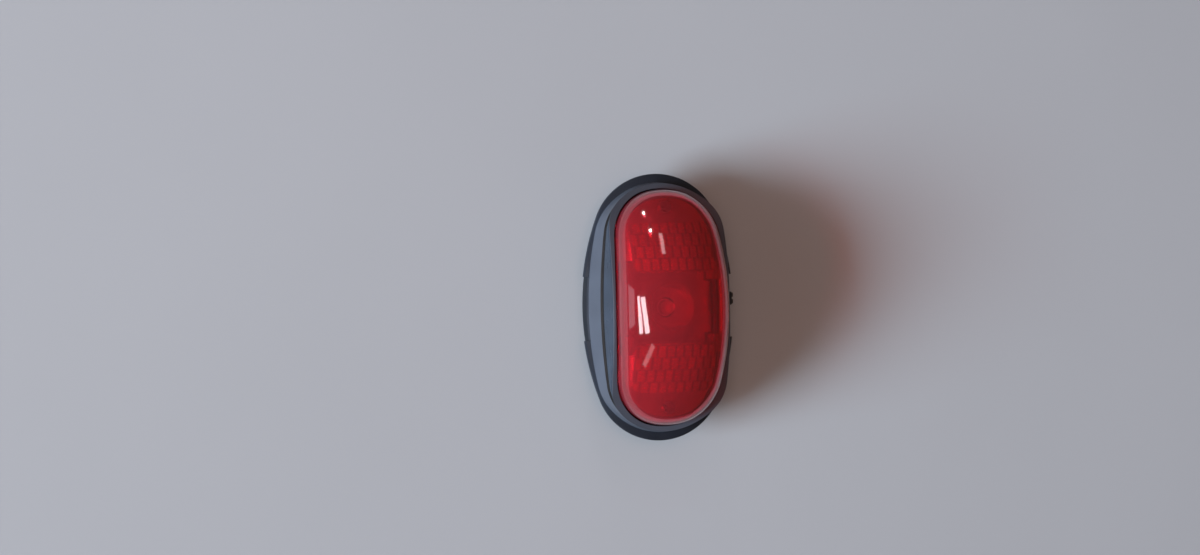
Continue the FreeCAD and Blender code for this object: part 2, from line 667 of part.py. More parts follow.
def button_cap():
    """Push button: a rounded cap through the wall and a flange that keeps it in."""
    half_y = BUTTON_LENGTH / 2
    half_z = BUTTON_HEIGHT / 2
    cap = box((FLANGE_X, BUTTON_TIP_X), (BUTTON_Y - half_y, BUTTON_Y + half_y),
              (BUTTON_Z - half_z, BUTTON_Z + half_z))
    tip = max(cap.Faces, key=lambda face: face.CenterOfMass.x)
    cap = cap.makeFillet(BUTTON_EDGE_ROUND, tip.Edges)
    flange = box((FLANGE_X - FLANGE_THICKNESS, FLANGE_X),
                 (BUTTON_Y - half_y - FLANGE_MARGIN, BUTTON_Y + half_y + FLANGE_MARGIN),
                 (BUTTON_Z - half_z, BUTTON_Z + half_z))
    return joined([cap, flange])


def button_seal():
    """Rubber bush in the wall round the button."""
    ring = button_window(BUTTON_SEAL_WIDTH).cut(button_window(BUTTON_CLEARANCE))
    inside = RING_FOOT.grown(-1.5).prism(0, BIG).cut(RING_FOOT.grown(-2.4).prism(0, BIG))
    return ring.common(inside)


def under_board(x, y, size):
    """A block of the given size against the board's underside."""
    across, along, height = size
    return box((x - across / 2, x + across / 2), (y - along / 2, y + along / 2), (BOARD_Z - height, BOARD_Z))


def driver_chip():
    """The lamp driver under the board."""
    return under_board(0, CHIP_Y, CHIP_SIZE)


def capacitor():
    """Round capacitor under the board, between the cells."""
    return disc(0, CAPACITOR_Y, CAPACITOR_RADIUS, BOARD_Z - CAPACITOR_HEIGHT, BOARD_Z)


def resistors():
    """Three small resistors under the board."""
    places = [step * RESISTOR_PITCH for step in (-1, 0, 1)]
    return separate([under_board(x, RESISTOR_Y, RESISTOR_SIZE) for x in places])


PARTS = {
    "mount_pad": mount_pad,
    "back_tray": back_tray,
    "case_seal": case_seal,
    "front_frame": front_frame,
    "lens": lens,
    "lens_gasket": lens_gasket,
    "reflector": reflector,
    "reflex_panel_upper": lambda: reflex_panel(1),
    "reflex_panel_lower": lambda: reflex_panel(-1),
    "circuit_board": circuit_board,
    "main_led": main_led,
    "driver_chip": driver_chip,
    "capacitor": capacitor,
    "resistors": resistors,
    "switch_body": switch_body,
    "switch_plunger": switch_plunger,
    "button_cap": button_cap,
    "button_seal": button_seal,
    "battery_cell_left": lambda: battery_cell(-1),
    "battery_cell_right": lambda: battery_cell(1),
    "battery_springs": battery_springs,
    "terminal_plates": terminal_plates,
    "bridge_contact": bridge_contact,
    "threaded_inserts": threaded_inserts,
    "case_screws": case_screws,
    "board_screws": board_screws,
}


def main():
    """Build every piece and write it to its own file."""
    os.makedirs("parts", exist_ok=True)
    for name, make in PARTS.items():
        shape = make()
        shape.exportStep(os.path.join("parts", name + ".step"))
        low, high = shape.BoundBox.ZMin, shape.BoundBox.ZMax
        print(f"{name}: {len(shape.Solids)} solids, {shape.Volume:.0f} mm3, z {low:.1f} to {high:.1f}")


main()
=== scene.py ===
"""Looks of an oval battery rear light for a bicycle carrier, lying on its back.

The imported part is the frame. +Z is the way the lens faces, +Y runs along the light and
+X points to the push button. Lengths are metres; MM turns a size in millimetres into them.
"""

import logging
import math
from dataclasses import dataclass
from enum import Enum
from typing import Sequence

import bmesh
import bpy
from mathutils import Matrix, Vector


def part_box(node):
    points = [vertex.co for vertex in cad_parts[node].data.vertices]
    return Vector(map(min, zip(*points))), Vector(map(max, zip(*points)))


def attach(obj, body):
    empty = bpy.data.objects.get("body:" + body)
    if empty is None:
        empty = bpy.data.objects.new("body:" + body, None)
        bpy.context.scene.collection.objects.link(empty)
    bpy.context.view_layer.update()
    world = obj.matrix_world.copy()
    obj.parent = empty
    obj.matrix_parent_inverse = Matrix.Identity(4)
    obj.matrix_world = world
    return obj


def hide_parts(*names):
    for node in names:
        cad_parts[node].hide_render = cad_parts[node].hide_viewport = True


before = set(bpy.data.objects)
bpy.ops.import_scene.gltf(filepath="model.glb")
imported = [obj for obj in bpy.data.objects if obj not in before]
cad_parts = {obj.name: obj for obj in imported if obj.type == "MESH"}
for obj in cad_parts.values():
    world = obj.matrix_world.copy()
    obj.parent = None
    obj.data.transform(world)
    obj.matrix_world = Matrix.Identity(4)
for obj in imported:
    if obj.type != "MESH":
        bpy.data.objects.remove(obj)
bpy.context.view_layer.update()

log = logging.getLogger("rear_light")
MM = 0.001
HOUSING = "housing"
BUTTON = "button"

Span = tuple[float, float]
Colour = tuple[float, float, float]
Socket = bpy.types.NodeSocket

# Stations in a quarter of an outline, and how near to a notch's end no other station lies
QUARTER_STEPS = 60
STATION_GAP = 0.006
# Up to SIDE_SHARE of the half length, all outlines have their stations at the same y; over
# the END_SHARE that is left, each outline spreads them out to its own end
SIDE_SHARE = 0.45
END_SHARE = 0.55

# Steps in the round at a section line's corner, and the most of a stretch that it takes
ROUND_STEPS = 4
ROUND_SHARE = 0.45

# How near points are merged, in a loft and at the poles of a turned shape, and how short
# an edge is taken out
MERGE_DISTANCE = 0.002 * MM
POLE_DISTANCE = 0.001 * MM
SLIVER_LENGTH = 0.0005 * MM

# The sockets of a Mix node that mixes colours, as Blender numbers them
MIX_SHARE = 0
MIX_COLOURS = (6, 7)
MIX_RESULT = 2

# Where two faces meet more sharply than this, their edge stays sharp
SHARP_ANGLE = math.radians(42)
SHADING_WEIGHT = 80


class Side(Enum):
    """The two sides of the light's middle, as signs along +X or +Y."""

    UPPER = 1
    LOWER = -1


class Zone(Enum):
    """The parts of the front frame's skin, in the order of its material slots."""

    RIM = 0
    FLANK = 1
    CHEEK = 2
    INNER = 3
    LIP = 4


class Carving(Enum):
    """What a tool does to the piece that it meets."""

    CUT = "DIFFERENCE"
    ADD = "UNION"


# Outlines and surfaces that several pieces share


@dataclass(frozen=True)
class Station:
    """One place on the way round an outline, counted from the +X side towards +Y."""

    turn: float
    inside_notch: bool = False

    @property
    def across(self) -> float:
        """Which side of the light the station lies on, as a sign along +X."""
        return -1.0 if math.cos(self.turn) < 0 else 1.0


@dataclass(frozen=True)
class Oval:
    """A closed outline of eight tangent arcs: two sides, two ends and four corners."""

    half_width: float
    half_length: float
    side_radius: float
    corner_radius: float
    end_radius: float

    def grown(self, by: float) -> "Oval":
        """The parallel outline that lies further out by the given distance."""
        return Oval(self.half_width + by, self.half_length + by, self.side_radius + by,
                    self.corner_radius + by, self.end_radius + by)

    def corner_centre(self) -> Span:
        """The corner arc's centre, from how the arc touches the side arc and the end arc.

        Returns:
            The centre's x and y.
        """
        side_x = self.half_width - self.side_radius
        end_y = self.half_length - self.end_radius
        to_side = self.side_radius - self.corner_radius
        to_end = self.end_radius - self.corner_radius
        apart = math.hypot(side_x, end_y)
        along = (to_side ** 2 - to_end ** 2 + apart ** 2) / (2 * apart)
        aside = math.sqrt(to_side ** 2 - along ** 2)
        return (side_x + (-side_x * along - end_y * aside) / apart,
                (end_y * along - side_x * aside) / apart)

    def arc_at(self, y: float) -> tuple[float, float, float]:
        """The arc that a place along the light lies on.

        Args:
            y: distance along the light from its middle, not negative.

        Returns:
            The arc's centre x, centre y and radius.
        """
        corner_x, corner_y = self.corner_centre()
        side_x = self.half_width - self.side_radius
        end_y = self.half_length - self.end_radius
        side_turn = math.atan2(corner_y, corner_x - side_x)
        end_turn = math.atan2(corner_y - end_y, corner_x)
        if y < self.side_radius * math.sin(side_turn):
            return side_x, 0.0, self.side_radius
        if y < end_y + self.end_radius * math.sin(end_turn):
            return corner_x, corner_y, self.corner_radius
        return 0.0, end_y, self.end_radius

    def place(self, station: Station) -> tuple[Vector, Vector]:
        """Where the outline passes a station.

        Args:
            station: the place on the way round.

        Returns:
            The point and the outward direction there, both flat.
        """
        rise = math.sin(station.turn)
        share = min(1.0, max(0.0, (abs(rise) - SIDE_SHARE) / END_SHARE))
        share = share * share * (3 - 2 * share)
        y = rise * (LENGTH / 2 + (self.half_length - LENGTH / 2) * share)
        centre_x, centre_y, radius = self.arc_at(abs(y))
        x = centre_x + math.sqrt(max(0.0, radius ** 2 - (abs(y) - centre_y) ** 2))
        out_x = (x - centre_x) / radius * station.across
        out_y = math.copysign((abs(y) - centre_y) / radius, y)
        return Vector((x * station.across, y, 0)), Vector((out_x, out_y, 0)).normalized()


LENGTH = 90 * MM
RIM = Oval(27 * MM, 45 * MM, 85 * MM, 20 * MM, 23.2 * MM)
RING_FOOT = Oval(25.1 * MM, 41.9 * MM, 115 * MM, 18 * MM, 24 * MM)
RING_WAIST = Oval(22.4 * MM, 41.2 * MM, 220 * MM, 16 * MM, 24 * MM)
CHEEK_TOP = Oval(20.2 * MM, 40.9 * MM, 330 * MM, 16.5 * MM, 24.5 * MM)
LENS_EDGE = Oval(19 * MM, 39.4 * MM, 330 * MM, 17 * MM, 24 * MM)


@dataclass(frozen=True)
class Arch:
    """The arched line along the light that the lens sits on."""

    top: float = 25.4 * MM
    drop: float = 8.8 * MM
    half_span: float = 39.4 * MM

    @property
    def radius(self) -> float:
        """Radius of the arch in side view."""
        return (self.half_span ** 2 + self.drop ** 2) / (2 * self.drop)

    def height(self, y: float, below: float = 0.0) -> float:
        """Height of the arch, or of the parallel line that lies below it."""
        return self.top - self.radius + math.sqrt((self.radius - below) ** 2 - y ** 2)


@dataclass(frozen=True)
class Crown:
    """The barrel-shaped top of the lens."""

    top: float = 37.0 * MM
    across: float = 34.0 * MM
    along: float = 58.0 * MM
    probe: float = 0.01 * MM

    def height(self, x: float, y: float, drop: float = 0.0) -> float:
        """Height of the crown over a point, or of the parallel surface that lies below it."""
        from_axis = self.along - self.across + math.sqrt((self.across - drop) ** 2 - x ** 2)
        return self.top - self.along + math.sqrt(from_axis ** 2 - y ** 2)

    def outward(self, x: float, y: float, drop: float = 0.0) -> Vector:
        """Outward direction of the crown, measured with two short steps.

        Args:
            x: place across the light.
            y: place along the light.
            drop: how far the surface lies below the crown.

        Returns:
            The direction, of length 1.
        """
        step = self.probe
        across = self.height(x + step, y, drop) - self.height(x - step, y, drop)
        along = self.height(x, y + step, drop) - self.height(x, y - step, drop)
        return Vector((-across / (2 * step), -along / (2 * step), 1)).normalized()


ARCH = Arch()
CROWN = Crown()


def raised(flat: Vector, z: float) -> Vector:
    """A point lifted or lowered to a height."""
    return Vector((flat.x, flat.y, z))


def on_oval(oval: Oval, station: Station, z: float) -> Vector:
    """The outline's point at a station, at a height."""
    return raised(oval.place(station)[0], z)


def under_arch(oval: Oval, station: Station, below: float) -> Vector:
    """The outline's point at a station, on the arch or a parallel line below it."""
    flat = oval.place(station)[0]
    return raised(flat, ARCH.height(flat.y, below))


def around(middle: float, reach: float) -> Span:
    """The two limits that lie equally far from a middle."""
    return middle - reach, middle + reach


def stations(notch: float = 0.0) -> list[Station]:
    """Stations once round an outline.

    Args:
        notch: how far along the light the side notches reach. Each of their ends gets two
            stations at one place, because the section steps there. 0 leaves them out.

    Returns:
        The stations in order.
    """
    end = math.asin(notch / (LENGTH / 2))
    turns = [math.pi / 2 * step / QUARTER_STEPS for step in range(QUARTER_STEPS + 1)]
    quarter = [(turn, False) for turn in turns]
    if notch:
        quarter = [(turn, False) for turn in turns if abs(turn - end) > STATION_GAP]
        quarter = sorted(quarter + [(end, True)])
    found: list[Station] = []
    for number in range(4):
        mirrored = number % 2 == 1
        row = quarter[::-1] if mirrored else quarter
        for turn, steps_here in row[1:] if number else row:
            if number == 3 and turn == 0:
                continue
            angle = number * math.pi / 2 + (math.pi / 2 - turn if mirrored else turn)
            if steps_here:
                pair = [Station(angle, True), Station(angle, False)]
                found += pair[::-1] if mirrored else pair
            else:
                found.append(Station(angle, turn < end))
    return found


def eased(corners: Sequence[Vector], radii: Sequence[float]) -> list[Vector]:
    """A section line with its corners rounded.

    Args:
        corners: the line's corners, ends included.
        radii: how far from each corner its round starts; 0 leaves the corner as it is.

    Returns:
        Points along the rounded line.
    """
    line: list[Vector] = []
    last = len(corners) - 1
    for index, corner in enumerate(corners):
        if index in (0, last) or radii[index] == 0:
            line.append(corner.copy())
            continue
        before, after = corners[index - 1] - corner, corners[index + 1] - corner
        reach = min(radii[index], ROUND_SHARE * before.length, ROUND_SHARE * after.length)
        start = corner + (before.normalized() * reach if before.length else before)
        end = corner + (after.normalized() * reach if after.length else after)
        for step in range(ROUND_STEPS + 1):
            share = step / ROUND_STEPS
            line.append(start.lerp(corner, share).lerp(corner.lerp(end, share), share))
    return line


def zones_along(radii: Sequence[float], zones: Sequence[Zone]) -> list[Zone]:
    """The zone of the stretch that ends at each point of an eased line.

    Args:
        radii: how far from each corner its round starts, as eased() takes them.
        zones: the zone of the stretch after each corner.

    Returns:
        One zone for each point that eased() makes.
    """
    found = []
    last = len(radii) - 1
    half = ROUND_STEPS // 2
    for index, radius in enumerate(radii):
        before = zones[max(0, index - 1)]
        if index in (0, last) or radius == 0:
            found.append(before)
        else:
            found += [before] * (half + 1) + [zones[index]] * (ROUND_STEPS - half)
    return found


# Making meshes


class Loft:
    """A closed loop that grows level by level into a shell."""

    def __init__(self, first: Sequence[Vector]) -> None:
        """Start with one loop.

        Args:
            first: the loop's points.
        """
        self.mesh = bmesh.new()
        made = bmesh.ops.create_circle(self.mesh, segments=len(first), radius=1.0)
        self.loop: list[bmesh.types.BMVert] = list(made["verts"])
        self.edges: list[bmesh.types.BMEdge] = list(self.mesh.edges)
        self.first_edges = list(self.edges)
        self.first_loop = list(self.loop)
        for vert, place in zip(self.loop, first):
            vert.co = place

    def rise(self, points: Sequence[Vector], slot: int = 0) -> None:
        """Grow the shell by one level.

        Args:
            points: where the new loop's points go.
            slot: the material slot of the new faces.
        """
        made = bmesh.ops.extrude_edge_only(self.mesh, edges=self.edges)["geom"]
        fresh = {part for part in made if isinstance(part, bmesh.types.BMVert)}
        following = []
        for vert, place in zip(self.loop, points):
            others = (edge.other_vert(vert) for edge in vert.link_edges)
            new = next(other for other in others if other in fresh)
            new.co = place
            following.append(new)
        self.edges = [part for part in made if isinstance(part, bmesh.types.BMEdge)
                      and part.verts[0] in fresh and part.verts[1] in fresh]
        for edge in self.edges:
            for face in edge.link_faces:
                face.material_index = slot
        self.loop = following

    def close_ring(self) -> None:
        """Join the last loop to the first."""
        bmesh.ops.bridge_loops(self.mesh, edges=self.edges + self.first_edges)

    def close_end(self, loop: Sequence[bmesh.types.BMVert], centre: Vector | None = None) -> None:
        """Shut a loop.

        Args:
            loop: the loop's vertices.
            centre: the point that a fan of faces meets in; without it, one flat face does.
        """
        face = self.mesh.faces.new(loop)
        if centre is not None:
            made = bmesh.ops.poke(self.mesh, faces=[face])
            made["verts"][0].co = centre

    def tidy(self) -> bmesh.types.BMesh:
        """Merge doubles and turn all faces outwards.

        Returns:
            The finished mesh.
        """
        bmesh.ops.remove_doubles(self.mesh, verts=self.mesh.verts, dist=MERGE_DISTANCE)
        bmesh.ops.dissolve_degenerate(self.mesh, edges=self.mesh.edges, dist=SLIVER_LENGTH)
        bmesh.ops.recalc_face_normals(self.mesh, faces=self.mesh.faces)
        return self.mesh


def lathe(section: Sequence[Span], centre: Vector, steps: int = 48) -> bmesh.types.BMesh:
    """Spin a section round an upright axis.

    Args:
        section: radius and height of each point of the section line.
        centre: the point on the axis that the heights count from.
        steps: faces once round.

    Returns:
        The round shape.
    """
    mesh = bmesh.new()
    verts = [mesh.verts.new(centre + Vector((radius, 0, height))) for radius, height in section]
    edges = [mesh.edges.new(pair) for pair in zip(verts, verts[1:])]
    bmesh.ops.spin(mesh, geom=verts + edges, cent=centre, axis=(0, 0, 1), angle=2 * math.pi,
                   steps=steps, use_merge=True)
    bmesh.ops.remove_doubles(mesh, verts=mesh.verts, dist=POLE_DISTANCE)
    return mesh


def block(x: Span, y: Span, z: Span, ease: float = 0.0) -> bmesh.types.BMesh:
    """A box with eased edges where asked.

    Args:
        x: its two limits across the light.
        y: its two limits along the light.
        z: its two limits in height.
        ease: how far its edges are rounded; 0 leaves them sharp.

    Returns:
        The box.
    """
    mesh = bmesh.new()
    middle = Vector(((x[0] + x[1]) / 2, (y[0] + y[1]) / 2, (z[0] + z[1]) / 2))
    size = Matrix.Diagonal((x[1] - x[0], y[1] - y[0], z[1] - z[0], 1))
    bmesh.ops.create_cube(mesh, size=1.0, matrix=Matrix.Translation(middle) @ size)
    if ease:
        bmesh.ops.bevel(mesh, geom=mesh.edges, offset=ease, segments=3, profile=0.5,
                        affect="EDGES", material=-1)
    return mesh


def finished(name: str, mesh: bmesh.types.BMesh, weighted: bool = True) -> bpy.types.Object:
    """Make a smooth object of a mesh.

    Args:
        name: the object's name.
        mesh: its mesh, which is used up.
        weighted: whether large faces even out the shading at their edges.

    Returns:
        The object, with its faces outwards.
    """
    bmesh.ops.recalc_face_normals(mesh, faces=mesh.faces)
    data = bpy.data.meshes.new(name)
    mesh.to_mesh(data)
    mesh.free()
    data.shade_smooth()
    data.set_sharp_from_angle(angle=SHARP_ANGLE)
    piece = bpy.data.objects.new(name, data)
    bpy.context.scene.collection.objects.link(piece)
    if weighted:
        shading = piece.modifiers.new("even_shading", "WEIGHTED_NORMAL")
        shading.weight = SHADING_WEIGHT
        shading.keep_sharp = True
    return piece


def carve(piece: bpy.types.Object, tool: bmesh.types.BMesh,
          how: Carving = Carving.CUT) -> None:
    """Cut a closed shape out of a piece, or add it to the piece, and keep the result.

    Args:
        piece: the piece that changes.
        tool: the closed shape, which is used up.
        how: whether the shape is cut out or added.
    """
    data = bpy.data.meshes.new("tool")
    bmesh.ops.recalc_face_normals(tool, faces=tool.faces)
    tool.to_mesh(data)
    tool.free()
    helper = bpy.data.objects.new("tool", data)
    bpy.context.scene.collection.objects.link(helper)
    cut = piece.modifiers.new("cut", "BOOLEAN")
    cut.operation, cut.object, cut.solver = how.value, helper, "EXACT"
    piece.modifiers.move(len(piece.modifiers) - 1, 0)
    for other in list(piece.modifiers)[1:]:
        other.show_viewport = False
    graph = bpy.context.evaluated_depsgraph_get()
    result = bpy.data.meshes.new_from_object(piece.evaluated_get(graph))
    piece.modifiers.remove(cut)
    for other in piece.modifiers:
        other.show_viewport = True
    piece.data = result
    bpy.data.objects.remove(helper)


# Finishes


class Nodes:
    """A material's node tree, built step by step."""

    def __init__(self, name: str) -> None:
        """Make an empty material with an output.

        Args:
            name: the material's name.
        """
        self.material = bpy.data.materials.new(name)
        self.material.use_nodes = True
        self.tree = self.material.node_tree
        self.tree.nodes.clear()
        self.output = self.tree.nodes.new("ShaderNodeOutputMaterial")
        self.coordinates = self.tree.nodes.new("ShaderNodeTexCoord").outputs["Object"]

    def add(self, kind: str, **values: object) -> bpy.types.Node:
        """Add a node.

        Args:
            kind: Blender's name for its kind.
            values: what its own inputs hold; a _ in a name stands for a space.

        Returns:
            The node.
        """
        node = self.tree.nodes.new(kind)
        for key, value in values.items():
            node.inputs[key.replace("_", " ")].default_value = value
        return node

    def link(self, source: Socket, target: Socket) -> None:
        """Join two sockets."""
        self.tree.links.new(source, target)

    def stretched(self, scale: Sequence[float]) -> Socket:
        """The object's coordinates, drawn out along each axis.

        Args:
            scale: how much finer a pattern gets along x, y and z.

        Returns:
            The coordinates.
        """
        node = self.add("ShaderNodeMapping", Scale=scale)
        self.link(self.coordinates, node.inputs["Vector"])
        return node.outputs["Vector"]

    def noise(self, scale: float, detail: float = 4.0,
              stretch: Sequence[float] | None = None) -> Socket:
        """Cloudy noise.

        Args:
            scale: features in a metre.
            detail: how many finer layers it has.
            stretch: how much finer it gets along x, y and z, if it isn't even.

        Returns:
            The pattern.
        """
        node = self.add("ShaderNodeTexNoise", Scale=scale, Detail=detail)
        source = self.coordinates if stretch is None else self.stretched(stretch)
        self.link(source, node.inputs["Vector"])
        return node.outputs["Fac"]

    def spread(self, source: Socket, low: float, high: float,
               start: float = 0.3, end: float = 0.7) -> Socket:
        """Turn a pattern into values between two limits.

        Args:
            source: the pattern.
            low: the value where the pattern is at its start.
            high: the value where the pattern is at its end.
            start: where the pattern starts to count.
            end: where the pattern has its full effect.

        Returns:
            The values.
        """
        node = self.add("ShaderNodeMapRange", From_Min=start, From_Max=end, To_Min=low, To_Max=high)
        self.link(source, node.inputs["Value"])
        return node.outputs["Result"]

    def blend(self, share: Socket, first: Colour, second: Colour) -> Socket:
        """Mix two colours by a pattern.

        Args:
            share: the pattern, 0 for the first colour and 1 for the second.
            first: the first colour.
            second: the second colour.

        Returns:
            The mixed colour.
        """
        node = self.add("ShaderNodeMix")
        node.data_type = "RGBA"
        for socket, colour in zip(MIX_COLOURS, (first, second)):
            node.inputs[socket].default_value = (*colour, 1)
        self.link(share, node.inputs[MIX_SHARE])
        return node.outputs[MIX_RESULT]

    def cloudy(self, scale: float, detail: float, first: Colour, second: Colour) -> Socket:
        """A colour that drifts between two tones in clouds.

        Args:
            scale: clouds in a metre.
            detail: how many finer layers they have.
            first: the first tone.
            second: the second tone.

        Returns:
            The colour.
        """
        return self.blend(self.spread(self.noise(scale, detail), 0, 1), first, second)

    def relief(self, source: Socket, depth: float) -> Socket:
        """A bump from a pattern.

        Args:
            source: the pattern.
            depth: how high it stands.

        Returns:
            The bumpy normal.
        """
        node = self.add("ShaderNodeBump", Distance=depth, Strength=1.0)
        self.link(source, node.inputs["Height"])
        return node.outputs["Normal"]

    def surface(self, colour: Socket, rough: Socket, relief: Socket, **values: float) -> Socket:
        """A surface with its patterns.

        Args:
            colour: the colour pattern.
            rough: the roughness pattern.
            relief: the bumpy normal.
            values: what the surface's other inputs hold; a _ in a name stands for a space.

        Returns:
            The surface.
        """
        node = self.add("ShaderNodeBsdfPrincipled", **values)
        self.link(colour, node.inputs["Base Color"])
        self.link(rough, node.inputs["Roughness"])
        self.link(relief, node.inputs["Normal"])
        return node.outputs["BSDF"]

    def shown(self, surface: Socket) -> bpy.types.Material:
        """The finished material, which shows a surface.

        Args:
            surface: the surface.

        Returns:
            The material.
        """
        self.link(surface, self.output.inputs["Surface"])
        return self.material


def toned(colour: Colour, by: float) -> Colour:
    """A colour times a factor."""
    return tuple(min(1.0, channel * by) for channel in colour)


@dataclass(frozen=True)
class Moulded:
    """Moulded plastic or rubber: an even colour with cloudy tone, fine grain and handling marks."""

    name: str
    colour: Colour
    roughness: float = 0.4
    tone: float = 0.15
    grain_scale: float = 2600.0
    grain_depth: float = 0.004 * MM
    marks: float = 0.08
    coat: float = 0.0
    shine: float = 0.5
    cloud_scale: float = 90.0
    wipe_scale: float = 240.0
    wipe_stretch: tuple[float, float, float] = (1, 0.25, 1)

    def material(self) -> bpy.types.Material:
        """Make the finish.

        Returns:
            The material.
        """
        nodes = Nodes(self.name)
        colour = nodes.cloudy(self.cloud_scale, 3.0, toned(self.colour, 1 - self.tone),
                              toned(self.colour, 1 + self.tone))
        wipes = nodes.noise(self.wipe_scale, 6.0, self.wipe_stretch)
        rough = nodes.spread(wipes, self.roughness - self.marks, self.roughness + self.marks)
        grain = nodes.relief(nodes.noise(self.grain_scale, 2.0), self.grain_depth)
        return nodes.shown(nodes.surface(colour, rough, grain, Coat_Weight=self.coat,
                                         Specular_IOR_Level=self.shine))


@dataclass(frozen=True)
class Clear:
    """Tinted clear plastic that lets the lamps through."""

    name: str
    tint: Colour
    shade: Colour
    haze: float = 0.1
    polish: float = 0.02
    clearness: float = 0.85
    waviness: float = 0.002 * MM
    index: float = 1.49
    coat_index: float = 1.65
    # A cell size lays painted shade on the tint: staggered darker cells and dark edges, in place of
    # the shade that the prisms' facets give
    cell: Span = (0.0, 0.0)
    cell_edge: float = 0.5 * MM
    edge_blur: float = 0.8
    row_stretch: float = 3.0
    cell_shade_tone: float = 0.75
    edge_shade_tone: float = 0.25
    cloud_scale: float = 60.0
    cloud_tone: float = 0.9
    dust: float = 1.6
    dust_scale: float = 700.0
    dust_span: Span = (0.5, 0.8)
    wave_scale: float = 160.0

    def colour(self, nodes: Nodes) -> Socket:
        """The tint: cloudy, or in staggered cells with dark edges where a cell size is given; the
        darker cells and edges are painted shade of the prisms' facets.

        Args:
            nodes: the material's nodes.

        Returns:
            The colour.
        """
        if self.cell == (0.0, 0.0):
            return nodes.cloudy(self.cloud_scale, 2.0, self.tint,
                                toned(self.tint, self.cloud_tone))
        cells = nodes.add("ShaderNodeTexBrick", Scale=1 / MM, Brick_Width=self.cell[0] / MM,
                          Row_Height=self.cell[1] / MM * self.row_stretch,
                          Mortar_Size=self.cell_edge / MM, Mortar_Smooth=self.edge_blur,
                          Color1=(*self.tint, 1),
                          Color2=(*toned(self.tint, self.cell_shade_tone), 1),
                          Mortar=(*toned(self.tint, self.edge_shade_tone), 1))
        nodes.link(nodes.stretched((1, self.row_stretch, 1)), cells.inputs["Vector"])
        return cells.outputs["Color"]

    def material(self) -> bpy.types.Material:
        """Make the finish.

        Returns:
            The material.
        """
        nodes = Nodes(self.name)
        specks = nodes.noise(self.dust_scale, 5.0)
        rough = nodes.spread(specks, self.haze, self.haze * self.dust, *self.dust_span)
        wave = nodes.relief(nodes.noise(self.wave_scale, 2.0), self.waviness)
        surface = nodes.surface(self.colour(nodes), rough, wave, IOR=self.index,
                                Transmission_Weight=self.clearness, Coat_Weight=1.0,
                                Coat_Roughness=self.polish, Coat_IOR=self.coat_index)
        through = nodes.add("ShaderNodeBsdfTransparent", Color=(*self.shade, 1))
        path = nodes.add("ShaderNodeLightPath")
        either = nodes.add("ShaderNodeMixShader")
        nodes.link(path.outputs["Is Shadow Ray"], either.inputs[0])
        nodes.link(surface, either.inputs[1])
        nodes.link(through.outputs["BSDF"], either.inputs[2])
        return nodes.shown(either.outputs["Shader"])


@dataclass(frozen=True)
class Metal:
    """Metal with fine working marks and dull patches."""

    name: str
    colour: Colour
    roughness: float = 0.25
    stretch: tuple[float, float, float] = (1.0, 1.0, 1.0)
    mark_scale: float = 1500.0
    mark_depth: float = 0.003 * MM
    plating: float = 1.0
    patch_scale: float = 300.0
    patch_tone: float = 0.85
    patch_gloss: Span = (0.7, 1.4)

    def material(self) -> bpy.types.Material:
        """Make the finish.

        Returns:
            The material.
        """
        nodes = Nodes(self.name)
        patches = nodes.noise(self.patch_scale)
        colour = nodes.blend(nodes.spread(patches, 0, 1), toned(self.colour, self.patch_tone),
                             self.colour)
        rough = nodes.spread(patches, *(self.roughness * share for share in self.patch_gloss))
        marks = nodes.relief(nodes.noise(self.mark_scale, 3.0, self.stretch), self.mark_depth)
        return nodes.shown(nodes.surface(colour, rough, marks, Metallic=self.plating))


@dataclass(frozen=True)
class Board:
    """Lacquered circuit board with copper tracks under the lacquer."""

    name: str = "board_lacquer"
    lacquer: Colour = (0.015, 0.12, 0.04)
    track: Colour = (0.04, 0.24, 0.09)
    track_scale: float = 160.0
    track_width: float = 0.06
    track_depth: float = 0.02 * MM
    tone: float = 1.2
    gloss: Span = (0.2, 0.35)
    gloss_scale: float = 400.0

    def material(self) -> bpy.types.Material:
        """Make the finish.

        Returns:
            The material.
        """
        nodes = Nodes(self.name)
        tracks = nodes.add("ShaderNodeTexBrick", Scale=self.track_scale,
                           Mortar_Size=self.track_width, Mortar=(*self.track, 1),
                           Color1=(*self.lacquer, 1),
                           Color2=(*toned(self.lacquer, self.tone), 1))
        nodes.link(nodes.coordinates, tracks.inputs["Vector"])
        rough = nodes.spread(nodes.noise(self.gloss_scale), *self.gloss)
        height = nodes.relief(tracks.outputs["Fac"], self.track_depth)
        return nodes.shown(nodes.surface(tracks.outputs["Color"], rough, height))


Finish = Moulded | Clear | Metal | Board

RIM_BLACK = Moulded("rim_black", (0.019, 0.024, 0.036), 0.5, marks=0.1)
FLANK_SATIN = Moulded("flank_satin", (0.084, 0.095, 0.126), 0.42, tone=0.08)
CHEEK_GLOSS = Moulded("cheek_gloss", (0.034, 0.047, 0.072), 0.3, marks=0.06, coat=0.3)
INNER_BLACK = Moulded("inner_black", (0.016, 0.016, 0.018), 0.5)
# The lip is black plastic; its dark maroon is painted shade in the gap under the lens, with a
# painted red glow from the lens
LIP_PAINTED_RED_SHADE = Moulded("lip_painted_red_shade", (0.028, 0.016, 0.022), 0.45)
TRAY_GRAIN = Moulded("tray_grain", (0.012, 0.015, 0.021), 0.55, grain_scale=1800.0,
                     grain_depth=0.012 * MM, shine=0.2)
RUBBER = Moulded("black_rubber", (0.018, 0.018, 0.019), 0.72, tone=0.25, grain_scale=3500.0)
BUTTON_BLACK = Moulded("button_black", (0.020, 0.021, 0.025), 0.3, coat=0.2)
COMPONENT = Moulded("component_black", (0.03, 0.03, 0.034), 0.5)
CELL_WRAP = Moulded("cell_wrap", (0.32, 0.33, 0.35), 0.25, coat=0.5)
LENS_RED = Clear("lens_red", (0.92, 0.085, 0.135), (0.75, 0.065, 0.10), haze=0.07, clearness=0.84)
